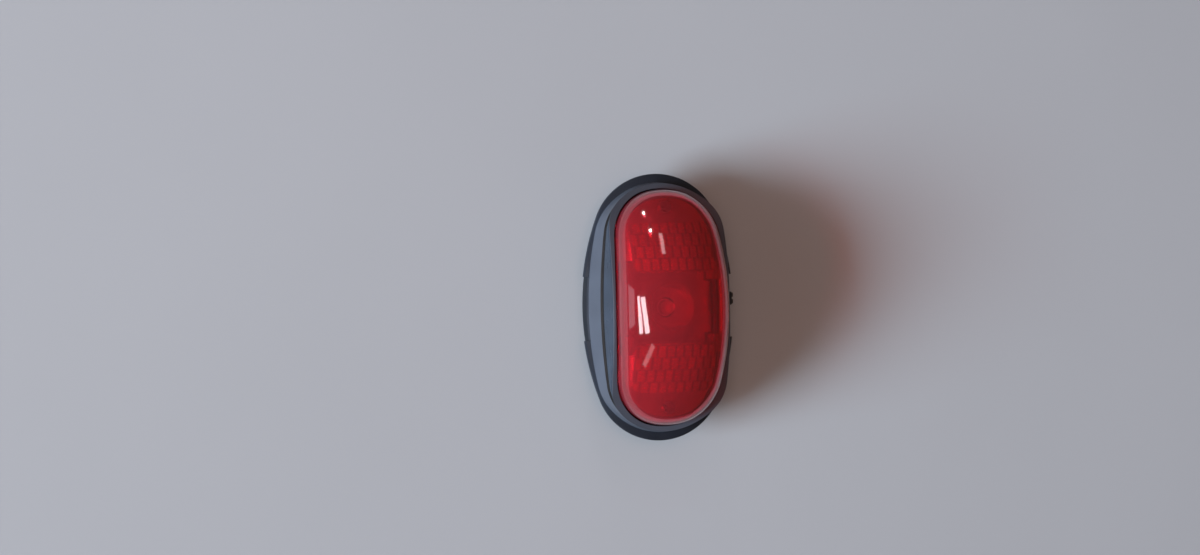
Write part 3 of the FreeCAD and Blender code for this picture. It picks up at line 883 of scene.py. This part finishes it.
# The panels' red, with painted prism shade in staggered cells and dark edges
PRISM_RED_SHADED = Clear("prism_red_painted_shade", (0.95, 0.06, 0.10), (0.70, 0.04, 0.06), haze=0.05, clearness=0.62,
                  cell=(2.9 * MM, 4.0 * MM))
# Milky resin, made pale so that the lamp also shows a painted highlight, which the lamps can't give
# it deep in the reflector
LAMP_MILKY_HIGHLIGHT = Clear("lamp_milky_painted_highlight", (1.0, 0.62, 0.62), (0.9, 0.5, 0.5), haze=0.15, clearness=0.12)
PLATED = Metal("plated_mirror", (0.9, 0.9, 0.9), 0.12, mark_scale=500.0, plating=0.8)
STEEL = Metal("plated_steel", (0.62, 0.62, 0.60), 0.3, (1, 6, 1))
SCREW = Metal("screw_steel", (0.55, 0.55, 0.54), 0.32)
BRASS = Metal("insert_brass", (0.78, 0.58, 0.27), 0.28, (1, 1, 8))
BOARD = Board()

# What the nodes of the frame that stay in view wear
NODE_FINISHES: dict[str, Finish] = {
    "back_tray": TRAY_GRAIN,
    "case_seal": RUBBER,
    "lens_gasket": RUBBER,
    "button_seal": RUBBER,
    "reflector": PLATED,
    "circuit_board": BOARD,
    "driver_chip": COMPONENT,
    "capacitor": CELL_WRAP,
    "resistors": COMPONENT,
    "switch_body": COMPONENT,
    "switch_plunger": BUTTON_BLACK,
    "battery_cell_left": CELL_WRAP,
    "battery_cell_right": CELL_WRAP,
    "battery_springs": STEEL,
    "terminal_plates": STEEL,
    "bridge_contact": STEEL,
    "threaded_inserts": BRASS,
    "case_screws": SCREW,
    "board_screws": SCREW,
}


class Paint:
    """Keeps one material for each finish."""

    def __init__(self) -> None:
        """Start with none made."""
        self.made: dict[str, bpy.types.Material] = {}

    def get(self, finish: Finish) -> bpy.types.Material:
        """The material of a finish, made on first use.

        Args:
            finish: the finish.

        Returns:
            Its material.
        """
        if finish.name not in self.made:
            self.made[finish.name] = finish.material()
        return self.made[finish.name]

    def dress(self, piece: bpy.types.Object, *finishes: Finish) -> None:
        """Give a piece its finishes.

        Args:
            piece: the piece.
            finishes: one for each of its material slots.
        """
        slots = piece.data.materials
        for index, finish in enumerate(finishes):
            if index < len(slots):
                slots[index] = self.get(finish)
            else:
                slots.append(self.get(finish))

    def dress_node(self, node: str, finish: Finish) -> None:
        """Give a node of the frame its finish."""
        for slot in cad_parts[node].material_slots:
            slot.material = self.get(finish)


paint = Paint()


def stand_for(piece: bpy.types.Object, node: str, body: str = HOUSING) -> None:
    """Let a finished piece ride on its body in place of a node of the frame.

    Args:
        piece: the piece.
        node: the node that it stands for.
        body: the body that it rides on.
    """
    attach(piece, body)
    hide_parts(node)
    log.info("%s stands for %s on %s", piece.name, node, body)


# The light's pieces


@dataclass
class FrontFrame:
    """Rim, flanks, cheeks and the ledge under the lens, as one ring."""

    seam: float = 11.0 * MM
    rim_top: float = 12.2 * MM
    foot: float = 13.0 * MM
    waist: float = 19.6 * MM
    cheek: float = 26.4 * MM
    wall: float = 2.0 * MM
    clearance: float = 0.4 * MM
    ledge_width: float = 2.9 * MM
    ledge_drop: float = 3.0 * MM
    ledge_thickness: float = 2.0 * MM
    socket_inset: float = 3.9 * MM
    socket_depth: float = 1.6 * MM
    notch_half_length: float = 10.7 * MM
    crease_half_width: float = 0.8 * MM
    crease_depth: float = 0.6 * MM
    crease_floor: float = 0.6
    crease_fade: float = 1.2 * MM
    crease_spacing: float = 0.04 * MM
    meeting_rounds: int = 6
    flange_x: float = 22.6 * MM
    button_y: float = 2.5 * MM
    window_x: Span = (21.0 * MM, 30.0 * MM)
    window_half_length: float = 2.9 * MM
    window_half_height: float = 2.3 * MM
    pocket_inner_x: float = 19.6 * MM
    pocket_half_length: float = 3.8 * MM
    pocket_headroom: float = 0.58 * MM
    pocket_overlap: float = 1.0 * MM
    # For each corner of the section, how far from it its round starts in millimetres, and
    # the zone of the stretch that follows it
    section_corners: tuple[tuple[float, Zone], ...] = (
        (0, Zone.RIM), (0.45, Zone.RIM), (0.45, Zone.FLANK),
        (0.1, Zone.INNER), (0.1, Zone.INNER), (0.1, Zone.INNER), (0.1, Zone.CHEEK),
        (0.5, Zone.FLANK), (0.2, Zone.LIP), (0.15, Zone.FLANK), (0.2, Zone.FLANK),
        (0.2, Zone.INNER), (0, Zone.INNER), (0.2, Zone.INNER), (0.2, Zone.INNER),
        (0.2, Zone.INNER), (0, Zone.INNER))

    @property
    def rounds(self) -> list[float]:
        """How far from each corner of the section its round starts."""
        return [size * MM for size, _ in self.section_corners]

    def on_flank(self, station: Station, z: float, inset: float = 0.0) -> Vector:
        """The flank's point at a height.

        Args:
            station: the place on the way round.
            z: the height.
            inset: how far inside the flank a parallel surface lies.

        Returns:
            The point on the flank, or on the parallel surface.
        """
        levels = ((RING_FOOT, self.foot), (RING_WAIST, self.waist), (CHEEK_TOP, self.cheek))
        for (low, low_z), (high, high_z) in zip(levels, levels[1:]):
            if z <= high_z:
                break
        start = low.grown(-inset).place(station)[0]
        end = high.grown(-inset).place(station)[0]
        return raised(start.lerp(end, (z - low_z) / (high_z - low_z)), z)

    def top_of_flank(self, station: Station, inset: float = 0.0, below: float = 0.0) -> Vector:
        """Where the flank meets the arch, found in a few rounds.

        Args:
            station: the place on the way round.
            inset: how far inside the flank a parallel surface lies.
            below: how far below the arch a parallel line lies.

        Returns:
            The point where the two meet.
        """
        z = self.waist
        for _ in range(self.meeting_rounds):
            z = ARCH.height(self.on_flank(station, z, inset).y, below)
        return self.on_flank(station, z, inset)

    def crease(self, station: Station, top: Vector) -> list[Vector]:
        """The groove along the waist, which fades where the arch dips below it.

        Args:
            station: the place on the way round.
            top: where the flank meets the arch.

        Returns:
            The groove's four corners, from the lowest up.
        """
        room = top.z - self.waist
        depth = self.crease_depth * min(1.0, max(0.0, room / self.crease_fade))
        floor = self.crease_floor
        places = ((-1.0, 0.0), (-floor, depth), (floor, depth), (1.0, 0.0))
        corners = []
        for index, (offset, inset) in enumerate(places):
            highest = top.z - (len(places) - index) * self.crease_spacing
            z = min(self.waist + offset * self.crease_half_width, highest)
            corners.append(self.on_flank(station, z, inset))
        return corners

    def inside(self, station: Station) -> list[Vector]:
        """The section's inner corners.

        Args:
            station: the place on the way round.

        Returns:
            The corners from the ledge's underside down the inner wall to the seam.
        """
        socket_top = self.seam + self.socket_depth
        below = self.ledge_drop + self.ledge_thickness
        opening = under_arch(LENS_EDGE.grown(-self.ledge_width), station, below)
        opening.z = max(opening.z, socket_top)
        heights = [max(self.top_of_flank(station, self.wall, below).z, socket_top)]
        for level in (self.waist, self.foot):
            heights.append(max(min(level, heights[-1]), socket_top))
        wall = [self.on_flank(station, z, self.wall) for z in heights]
        socket = RIM.grown(-self.socket_inset)
        return [opening, *wall, on_oval(socket, station, socket_top),
                on_oval(socket, station, self.seam)]

    def section(self, station: Station) -> list[Vector]:
        """The ring's section line.

        Args:
            station: the place on the way round.

        Returns:
            Points from the seam over the top and back inside.
        """
        edge = RING_FOOT if station.inside_notch else RIM
        recess = LENS_EDGE.grown(self.clearance)
        opening = LENS_EDGE.grown(-self.ledge_width)
        top = self.top_of_flank(station)
        corners = [on_oval(edge, station, self.seam), on_oval(edge, station, self.rim_top),
                   self.on_flank(station, self.foot), *self.crease(station, top), top,
                   under_arch(recess, station, 0.0),
                   under_arch(recess, station, self.ledge_drop),
                   under_arch(opening, station, self.ledge_drop), *self.inside(station)]
        return eased(corners, self.rounds)

    def cut_window(self, piece: bpy.types.Object) -> None:
        """Cut the pocket for the button's flange and the window for its cap.

        Args:
            piece: the ring.
        """
        low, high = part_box("button_cap")
        carve(piece, block((self.pocket_inner_x, self.flange_x),
                           around(self.button_y, self.pocket_half_length),
                           (self.seam - self.pocket_overlap, high.z + self.pocket_headroom)))
        carve(piece, block(self.window_x, around(self.button_y, self.window_half_length),
                           around((low.z + high.z) / 2, self.window_half_height)))

    def build(self) -> None:
        """Make the ring, dress it and cut the button's window."""
        levels = list(zip(*(self.section(place) for place in stations(self.notch_half_length))))
        zones = zones_along(self.rounds, [zone for _, zone in self.section_corners])
        loft = Loft(levels[0])
        for level, zone in zip(levels[1:], zones[1:]):
            loft.rise(level, zone.value)
        loft.close_ring()
        piece = finished("front_frame_shell", loft.tidy())
        paint.dress(piece, RIM_BLACK, FLANK_SATIN, CHEEK_GLOSS, INNER_BLACK, LIP_PAINTED_RED_SHADE)
        self.cut_window(piece)
        stand_for(piece, "front_frame")


@dataclass
class Lens:
    """Domed red cover: an even wall with a skirt that follows the arch."""

    wall: float = 2.0 * MM
    edge_round: float = 7.5 * MM
    skirt: float = 2.0 * MM
    round_steps: int = 14
    ring_steps: int = 26
    last_ring: float = 0.6
    skirt_steps: int = 4
    tab_y: float = 12.0 * MM
    tab_length: float = 6.0 * MM
    # The tongue's section in millimetres: how far from the middle, and how far above the arch
    tab_section: tuple[Span, ...] = (
        (13.8, -6.6), (16.6, -6.6), (16.6, -5.3), (15.2, -5.3),
        (15.2, -2.0), (17.4, -2.0), (17.4, 1.0), (13.8, 1.0))

    def surface(self, station: Station, inset: float) -> list[Vector]:
        """One side of the wall.

        Args:
            station: the place on the way round.
            inset: how far inside the lens's outline it lies.

        Returns:
            Points from the skirt's foot up the edge's round to the last ring round the middle.
        """
        edge = LENS_EDGE.grown(-inset)
        flat, outward = edge.place(station)
        radius = self.edge_round - inset
        centre = flat - outward * radius
        centre.z = CROWN.height(centre.x, centre.y, self.edge_round)
        foot = under_arch(edge, station, self.skirt)
        start = centre + outward * radius
        line = [foot.lerp(start, step / self.skirt_steps) for step in range(self.skirt_steps)]
        upward = CROWN.outward(centre.x, centre.y, self.edge_round)
        angle = outward.angle(upward)
        for step in range(self.round_steps + 1):
            share = step / self.round_steps
            weight = math.sin((1 - share) * angle), math.sin(share * angle)
            leaning = (outward * weight[0] + upward * weight[1]) / math.sin(angle)
            line.append(centre + leaning * radius)
        shoulder = line[-1]
        for step in range(1, self.ring_steps + 1):
            share = 1 - step / (self.ring_steps + self.last_ring)
            x, y = shoulder.x * share, shoulder.y * share
            line.append(Vector((x, y, CROWN.height(x, y, inset))))
        return line

    def snap_tab(self, across: float, along: float) -> bmesh.types.BMesh:
        """A tongue beside the ledge with a hook that catches under it.

        Args:
            across: which side it sits on, as a sign along +X.
            along: which end it is nearer to, as a sign along +Y.

        Returns:
            The closed shape, bent along the arch.
        """
        mesh = bmesh.new()
        low, high = around(along * self.tab_y, self.tab_length / 2)
        face = mesh.faces.new([mesh.verts.new((across * x * MM, low, z * MM))
                               for x, z in self.tab_section])
        made = bmesh.ops.extrude_face_region(mesh, geom=[face], use_keep_orig=True)["geom"]
        far = [part for part in made if isinstance(part, bmesh.types.BMVert)]
        bmesh.ops.translate(mesh, vec=(0, high - low, 0), verts=far)
        for vert in mesh.verts:
            vert.co.z += ARCH.height(vert.co.y)
        return mesh

    def build(self) -> None:
        """Make the shell, add its tongues and dress it."""
        columns = (self.surface(place, 0.0)[::-1] + self.surface(place, self.wall)
                   for place in stations())
        levels = list(zip(*columns))
        loft = Loft(levels[0])
        for level in levels[1:]:
            loft.rise(level)
        loft.close_end(loft.first_loop, Vector((0, 0, CROWN.height(0, 0))))
        loft.close_end(loft.loop, Vector((0, 0, CROWN.height(0, 0, self.wall))))
        piece = finished("lens_dome", loft.tidy(), weighted=False)
        for across in Side:
            for along in Side:
                carve(piece, self.snap_tab(across.value, along.value), Carving.ADD)
        paint.dress(piece, LENS_RED)
        stand_for(piece, "lens")


@dataclass
class ReflexPanel:
    """Red panel under the lens with rows of small pyramids on its underside."""

    side: Side
    node: str
    half_width: float = 13.5 * MM
    inner_y: float = 11.5 * MM
    outer_y: float = 27.5 * MM
    depth: float = 3.4 * MM
    skin: float = 1.1 * MM
    prism: float = 0.8 * MM
    pitch: float = 1.5 * MM
    corner_cut: float = 1.6 * MM

    def slab(self, middle: float, length: float) -> bmesh.types.BMesh:
        """The flat panel with its pyramids.

        Args:
            middle: how far along the light its middle lies.
            length: its length.

        Returns:
            The slab, with its top at height 0.
        """
        mesh = bmesh.new()
        bmesh.ops.create_grid(mesh, x_segments=round(2 * self.half_width / self.pitch),
                              y_segments=round(length / self.pitch), size=1.0)
        size = Matrix.Diagonal((self.half_width, length / 2, 1, 1))
        place = Matrix.Translation((0, middle, -self.skin))
        bmesh.ops.transform(mesh, matrix=place @ size, verts=mesh.verts)
        under = list(mesh.faces)
        made = bmesh.ops.extrude_face_region(mesh, geom=under, use_keep_orig=True)["geom"]
        top = [part for part in made if isinstance(part, bmesh.types.BMVert)]
        bmesh.ops.translate(mesh, vec=(0, 0, self.skin), verts=top)
        top_edges = [edge for edge in mesh.edges if all(vert in top for vert in edge.verts)]
        bmesh.ops.subdivide_edges(mesh, edges=top_edges, cuts=1, use_grid_fill=True)
        tips = bmesh.ops.poke(mesh, faces=under)["verts"]
        bmesh.ops.translate(mesh, vec=(0, 0, -self.prism), verts=tips)
        return mesh

    def cut_corners(self, mesh: bmesh.types.BMesh, middle: float, length: float) -> None:
        """Cut the four upright corners off at a slant.

        Args:
            mesh: the slab.
            middle: how far along the light its middle lies.
            length: its length.
        """
        for across in (-1, 1):
            for along in (-1, 1):
                slant = Vector((across, along, 0))
                corner = Vector((across * self.half_width, middle + along * length / 2, 0))
                whole = mesh.verts[:] + mesh.edges[:] + mesh.faces[:]
                made = bmesh.ops.bisect_plane(mesh, geom=whole, plane_no=slant, clear_outer=True,
                                              plane_co=corner - slant * self.corner_cut / 2)
                edges = [part for part in made["geom_cut"] if isinstance(part, bmesh.types.BMEdge)]
                bmesh.ops.holes_fill(mesh, edges=edges)

    def build(self) -> None:
        """Make the slab, bend it under the lens and dress it."""
        middle = self.side.value * (self.inner_y + self.outer_y) / 2
        length = self.outer_y - self.inner_y
        mesh = self.slab(middle, length)
        self.cut_corners(mesh, middle, length)
        for vert in mesh.verts:
            vert.co.z = CROWN.height(vert.co.x, vert.co.y, self.depth - vert.co.z)
        piece = finished(self.node + "_prisms", mesh, weighted=False)
        piece.data.shade_flat()
        paint.dress(piece, PRISM_RED_SHADED)
        stand_for(piece, self.node)


@dataclass
class Lamp:
    """Round resin lamp with the metal cup that shows in it."""

    board: float = 17.2 * MM
    collar_radius: float = 2.9 * MM
    collar_height: float = 1.0 * MM
    collar_ease: float = 0.15 * MM
    radius: float = 2.5 * MM
    shoulder: float = 3.3 * MM
    nose_steps: int = 10
    cup_gap: float = 0.2 * MM
    cup_steps: int = 24
    # Radius and height of the cup and its leads, in millimetres
    cup_section: tuple[Span, ...] = (
        (0.0, 2.2), (0.5, 2.2), (1.1, 2.8), (1.2, 2.75),
        (0.5, 1.8), (0.28, 1.6), (0.28, 0.0), (0.0, 0.0))

    def build(self) -> None:
        """Make the resin body with its collar and round nose, and dress it."""
        ease = self.collar_ease
        body = [(0.0, 0.0), (self.collar_radius, 0.0),
                (self.collar_radius, self.collar_height - ease),
                (self.collar_radius - ease, self.collar_height),
                (self.radius, self.collar_height), (self.radius, self.shoulder)]
        for step in range(1, self.nose_steps + 1):
            angle = math.pi / 2 * step / self.nose_steps
            body.append((self.radius * math.cos(angle),
                         self.shoulder + self.radius * math.sin(angle)))
        resin = finished("main_led_resin", lathe(body, Vector((0, 0, self.board))), weighted=False)
        paint.dress(resin, LAMP_MILKY_HIGHLIGHT)
        stand_for(resin, "main_led")

    def build_cup(self) -> None:
        """Make the cup on its leads, which stays inside the resin, and dress it."""
        section = [(radius * MM, height * MM) for radius, height in self.cup_section]
        foot = Vector((0, 0, self.board + self.cup_gap))
        piece = finished("lamp_cup", lathe(section, foot, self.cup_steps), weighted=False)
        paint.dress(piece, STEEL)
        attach(piece, HOUSING)
        log.info("%s rides on %s", piece.name, HOUSING)


@dataclass
class PushButton:
    """Cap of the push button with grip ribs across its tip, and its flange."""

    cap_x: float = 22.6 * MM
    cap_overlap: float = 0.2 * MM
    cap_ease: float = 0.55 * MM
    flange_ease: float = 0.12 * MM
    length: float = 4.6 * MM
    middle_y: float = 2.5 * MM
    rib_count: int = 2
    rib_pitch: float = 2.2 * MM
    rib_width: float = 1.6 * MM
    rib_height: float = 0.5 * MM
    rib_root: float = 1.2 * MM
    rib_inset: float = 0.5 * MM
    rib_ease: float = 0.3 * MM

    def build(self) -> None:
        """Make cap, flange and ribs, and dress them."""
        low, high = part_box("button_cap")
        cap = block((self.cap_x - self.cap_overlap, high.x - self.rib_height),
                    around(self.middle_y, self.length / 2), (low.z, high.z), self.cap_ease)
        piece = finished("button_cap_ribbed", cap)
        flange = block((low.x, self.cap_x), (low.y, high.y), (low.z, high.z), self.flange_ease)
        carve(piece, flange, Carving.ADD)
        for index in range(self.rib_count):
            y = self.middle_y + (index - (self.rib_count - 1) / 2) * self.rib_pitch
            rib = block((high.x - self.rib_root, high.x), around(y, self.rib_width / 2),
                        (low.z + self.rib_inset, high.z - self.rib_inset), self.rib_ease)
            carve(piece, rib, Carving.ADD)
        piece.data.shade_smooth()
        paint.dress(piece, BUTTON_BLACK)
        stand_for(piece, "button_cap", BUTTON)


@dataclass
class MountPad:
    """Rubber pad under the light, with two bolt holes and grooves across its underside."""

    hole_radius: float = 2.8 * MM
    hole_y: float = 25.0 * MM
    groove_count: int = 9
    groove_pitch: float = 4.2 * MM
    groove_width: float = 1.2 * MM
    groove_depth: float = 0.4 * MM
    overlap: float = 1.0 * MM
    ease: float = 0.25 * MM
    end_steps: int = 24

    def outline(self, inset: float, z: float) -> list[Vector]:
        """The pad's round-ended outline.

        Args:
            inset: how far inside the pad's edge it lies.
            z: its height.

        Returns:
            The points once round.
        """
        low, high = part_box("mount_pad")
        radius = (high.x - low.x) / 2
        reach = (high.y - low.y) / 2 - radius
        points = []
        for side in Side:
            for step in range(self.end_steps + 1):
                angle = side.value * math.pi / 2 + math.pi * (step / self.end_steps - 0.5)
                x = (radius - inset) * math.cos(angle)
                y = side.value * reach + (radius - inset) * math.sin(angle)
                points.append(Vector((x, y, z)))
        return points

    def build(self) -> None:
        """Make the pad, cut its holes and grooves, and dress it."""
        low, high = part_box("mount_pad")
        loft = Loft(self.outline(self.ease, low.z))
        for inset, z in ((0.0, low.z + self.ease), (0.0, high.z - self.ease), (self.ease, high.z)):
            loft.rise(self.outline(inset, z))
        loft.close_end(loft.first_loop)
        loft.close_end(loft.loop)
        piece = finished("mount_pad_grooved", loft.tidy())
        thick = high.z - low.z
        drill = [(0.0, -thick), (self.hole_radius, -thick),
                 (self.hole_radius, 2 * thick), (0.0, 2 * thick)]
        for side in Side:
            carve(piece, lathe(drill, Vector((0, side.value * self.hole_y, low.z))))
        for index in range(self.groove_count):
            y = (index - (self.groove_count - 1) / 2) * self.groove_pitch
            carve(piece, block((low.x - self.overlap, high.x + self.overlap),
                               around(y, self.groove_width / 2),
                               (low.z - self.overlap, low.z + self.groove_depth)))
        paint.dress(piece, RUBBER)
        stand_for(piece, "mount_pad")


# Floor, lamps and camera


@dataclass(frozen=True)
class AreaLamp:
    """A rectangular lamp that faces the light.

    direction is where it stands, seen from the middle of the light. mirrored says whether
    polished surfaces show it, and lit whether it lights dull ones.
    """

    name: str
    direction: tuple[float, float, float]
    distance: float
    size: Span
    power: float
    colour: Colour
    mirrored: bool = True
    lit: bool = True

    def build(self) -> None:
        """Set the lamp up."""
        data = bpy.data.lights.new(self.name, "AREA")
        data.shape = "RECTANGLE"
        data.size, data.size_y = self.size
        data.energy = self.power
        data.color = self.colour
        lamp = bpy.data.objects.new(self.name, data)
        back = Vector(self.direction).normalized()
        lamp.location = back * self.distance
        lamp.rotation_mode = "QUATERNION"
        lamp.rotation_quaternion = (-back).to_track_quat("-Z", "Y")
        lamp.visible_glossy = lamp.visible_transmission = self.mirrored
        lamp.visible_diffuse = self.lit
        bpy.context.scene.collection.objects.link(lamp)


DAY_WHITE = (1.0, 0.98, 1.0)
SPOT_WHITE = (1.0, 0.93, 0.9)
# The low window comes in two: one gives the light, and a dim one is what polished faces
# mirror. So does the high window: its panes are only mirrored, and the warm ceiling gives the
# light. The others are small gleams on the lens.
LAMPS = (
    AreaLamp("window", (-0.915, -0.19, 0.342), 5.0, (2.2, 1.5), 395.0, (0.768, 0.913, 1.0),
             mirrored=False),
    AreaLamp("window_glow", (-0.905, 0.0, 0.423), 5.0, (1.9, 2.87), 16.0, (0.82, 0.88, 1.0)),
    AreaLamp("pane_0", (-0.536, -0.09, 0.88), 1.4, (0.6, 0.12), 1.7, DAY_WHITE, lit=False),
    AreaLamp("pane_1", (-0.404, -0.09, 0.88), 1.4, (0.6, 0.12), 1.7, DAY_WHITE, lit=False),
    AreaLamp("ceiling", (-0.25, 0.10, 0.96), 1.4, (0.8, 0.8), 3.1, (1.0, 0.64, 0.50),
             mirrored=False),
    AreaLamp("pane_tail", (-0.30, -0.53, 0.79), 1.4, (0.11, 0.42), 0.15, DAY_WHITE),
    AreaLamp("strip", (0.03, 0.67, 0.73), 1.4, (0.09, 0.36), 0.24, (1.0, 0.95, 0.95)),
    AreaLamp("spot_high", (-0.145, 0.909, 0.39), 1.4, (0.05, 0.05), 0.35, SPOT_WHITE),
    AreaLamp("spot_low", (-0.126, 0.788, 0.598), 1.4, (0.05, 0.05), 0.35, SPOT_WHITE),
)


@dataclass
class Studio:
    """Pale floor in a dim warm room, with its lamps and the camera."""

    floor_size: float = 5.0
    floor_colour: Colour = (0.61, 0.63, 0.683)
    floor_tone: float = 0.97
    floor_clouds: float = 7.0
    floor_roughness: float = 0.55
    room_colour: Colour = (1.0, 0.58, 0.44)
    room_strength: float = 0.07
    backdrop_colour: Colour = (0.30, 0.31, 0.35)
    view_tilt: float = math.radians(17.5)
    view_roll: float = math.radians(1.2)
    view_distance: float = 0.6
    rim_height: float = 12.0 * MM
    picture_size: tuple[int, int] = (1200, 555)
    rim_pixel: Span = (658.8, 307.1)
    metres_per_pixel: float = 0.3373 * MM
    sensor: float = 36.0

    def floor(self) -> None:
        """Make a wide plain floor at the height that the light rests on."""
        mesh = bmesh.new()
        bmesh.ops.create_grid(mesh, x_segments=4, y_segments=4, size=self.floor_size / 2)
        piece = finished("floor", mesh, weighted=False)
        nodes = Nodes("floor_pale")
        colour = nodes.cloudy(self.floor_clouds, 5.0, toned(self.floor_colour, self.floor_tone),
                              self.floor_colour)
        surface = nodes.add("ShaderNodeBsdfPrincipled", Roughness=self.floor_roughness)
        nodes.link(colour, surface.inputs["Base Color"])
        piece.data.materials.append(nodes.shown(surface.outputs["BSDF"]))

    def room(self) -> None:
        """Make the dim room, which the camera itself sees as a pale backdrop."""
        world = bpy.data.worlds.new("room")
        world.use_nodes = True
        tree = world.node_tree
        room = tree.nodes["Background"]
        room.inputs["Color"].default_value = (*self.room_colour, 1)
        room.inputs["Strength"].default_value = self.room_strength
        backdrop = tree.nodes.new("ShaderNodeBackground")
        backdrop.inputs["Color"].default_value = (*self.backdrop_colour, 1)
        path = tree.nodes.new("ShaderNodeLightPath")
        either = tree.nodes.new("ShaderNodeMixShader")
        tree.links.new(path.outputs["Is Camera Ray"], either.inputs[0])
        tree.links.new(room.outputs["Background"], either.inputs[1])
        tree.links.new(backdrop.outputs["Background"], either.inputs[2])
        tree.links.new(either.outputs["Shader"], tree.nodes["World Output"].inputs["Surface"])
        bpy.context.scene.world = world

    def camera(self) -> None:
        """Aim the camera so that the rim's middle falls on its pixel of the picture."""
        back = Vector((-math.sin(self.view_tilt), 0, math.cos(self.view_tilt)))
        up = Matrix.Rotation(-self.view_roll, 3, back) @ Vector((0, 1, 0))
        right = up.cross(back)
        aside = (self.picture_size[0] / 2 - self.rim_pixel[0]) * self.metres_per_pixel
        above = (self.rim_pixel[1] - self.picture_size[1] / 2) * self.metres_per_pixel
        aim = Vector((0, 0, self.rim_height)) + right * aside + up * above
        data = bpy.data.cameras.new("camera")
        data.sensor_width = self.sensor
        half_view = self.picture_size[0] * self.metres_per_pixel / 2
        data.lens = self.sensor / 2 * self.view_distance / half_view
        camera = bpy.data.objects.new("camera", data)
        place = Matrix((right, up, back)).transposed().to_4x4()
        place.translation = aim + back * self.view_distance
        camera.matrix_world = place
        bpy.context.scene.collection.objects.link(camera)
        bpy.context.scene.camera = camera

    def build(self) -> None:
        """Set the whole studio up."""
        self.floor()
        self.room()
        for lamp in LAMPS:
            lamp.build()
        self.camera()
        bpy.context.scene.view_settings.view_transform = "Standard"


def main() -> None:
    """Build every piece in order."""
    logging.basicConfig(level=logging.INFO, format="%(name)s: %(message)s")
    Studio().build()
    FrontFrame().build()
    Lens().build()
    ReflexPanel(Side.UPPER, "reflex_panel_upper").build()
    ReflexPanel(Side.LOWER, "reflex_panel_lower").build()
    lamp = Lamp()
    lamp.build()
    lamp.build_cup()
    PushButton().build()
    MountPad().build()
    for node, finish in NODE_FINISHES.items():
        paint.dress_node(node, finish)
        log.info("%s has %s", node, finish.name)


if __name__ == "__main__":
    main()
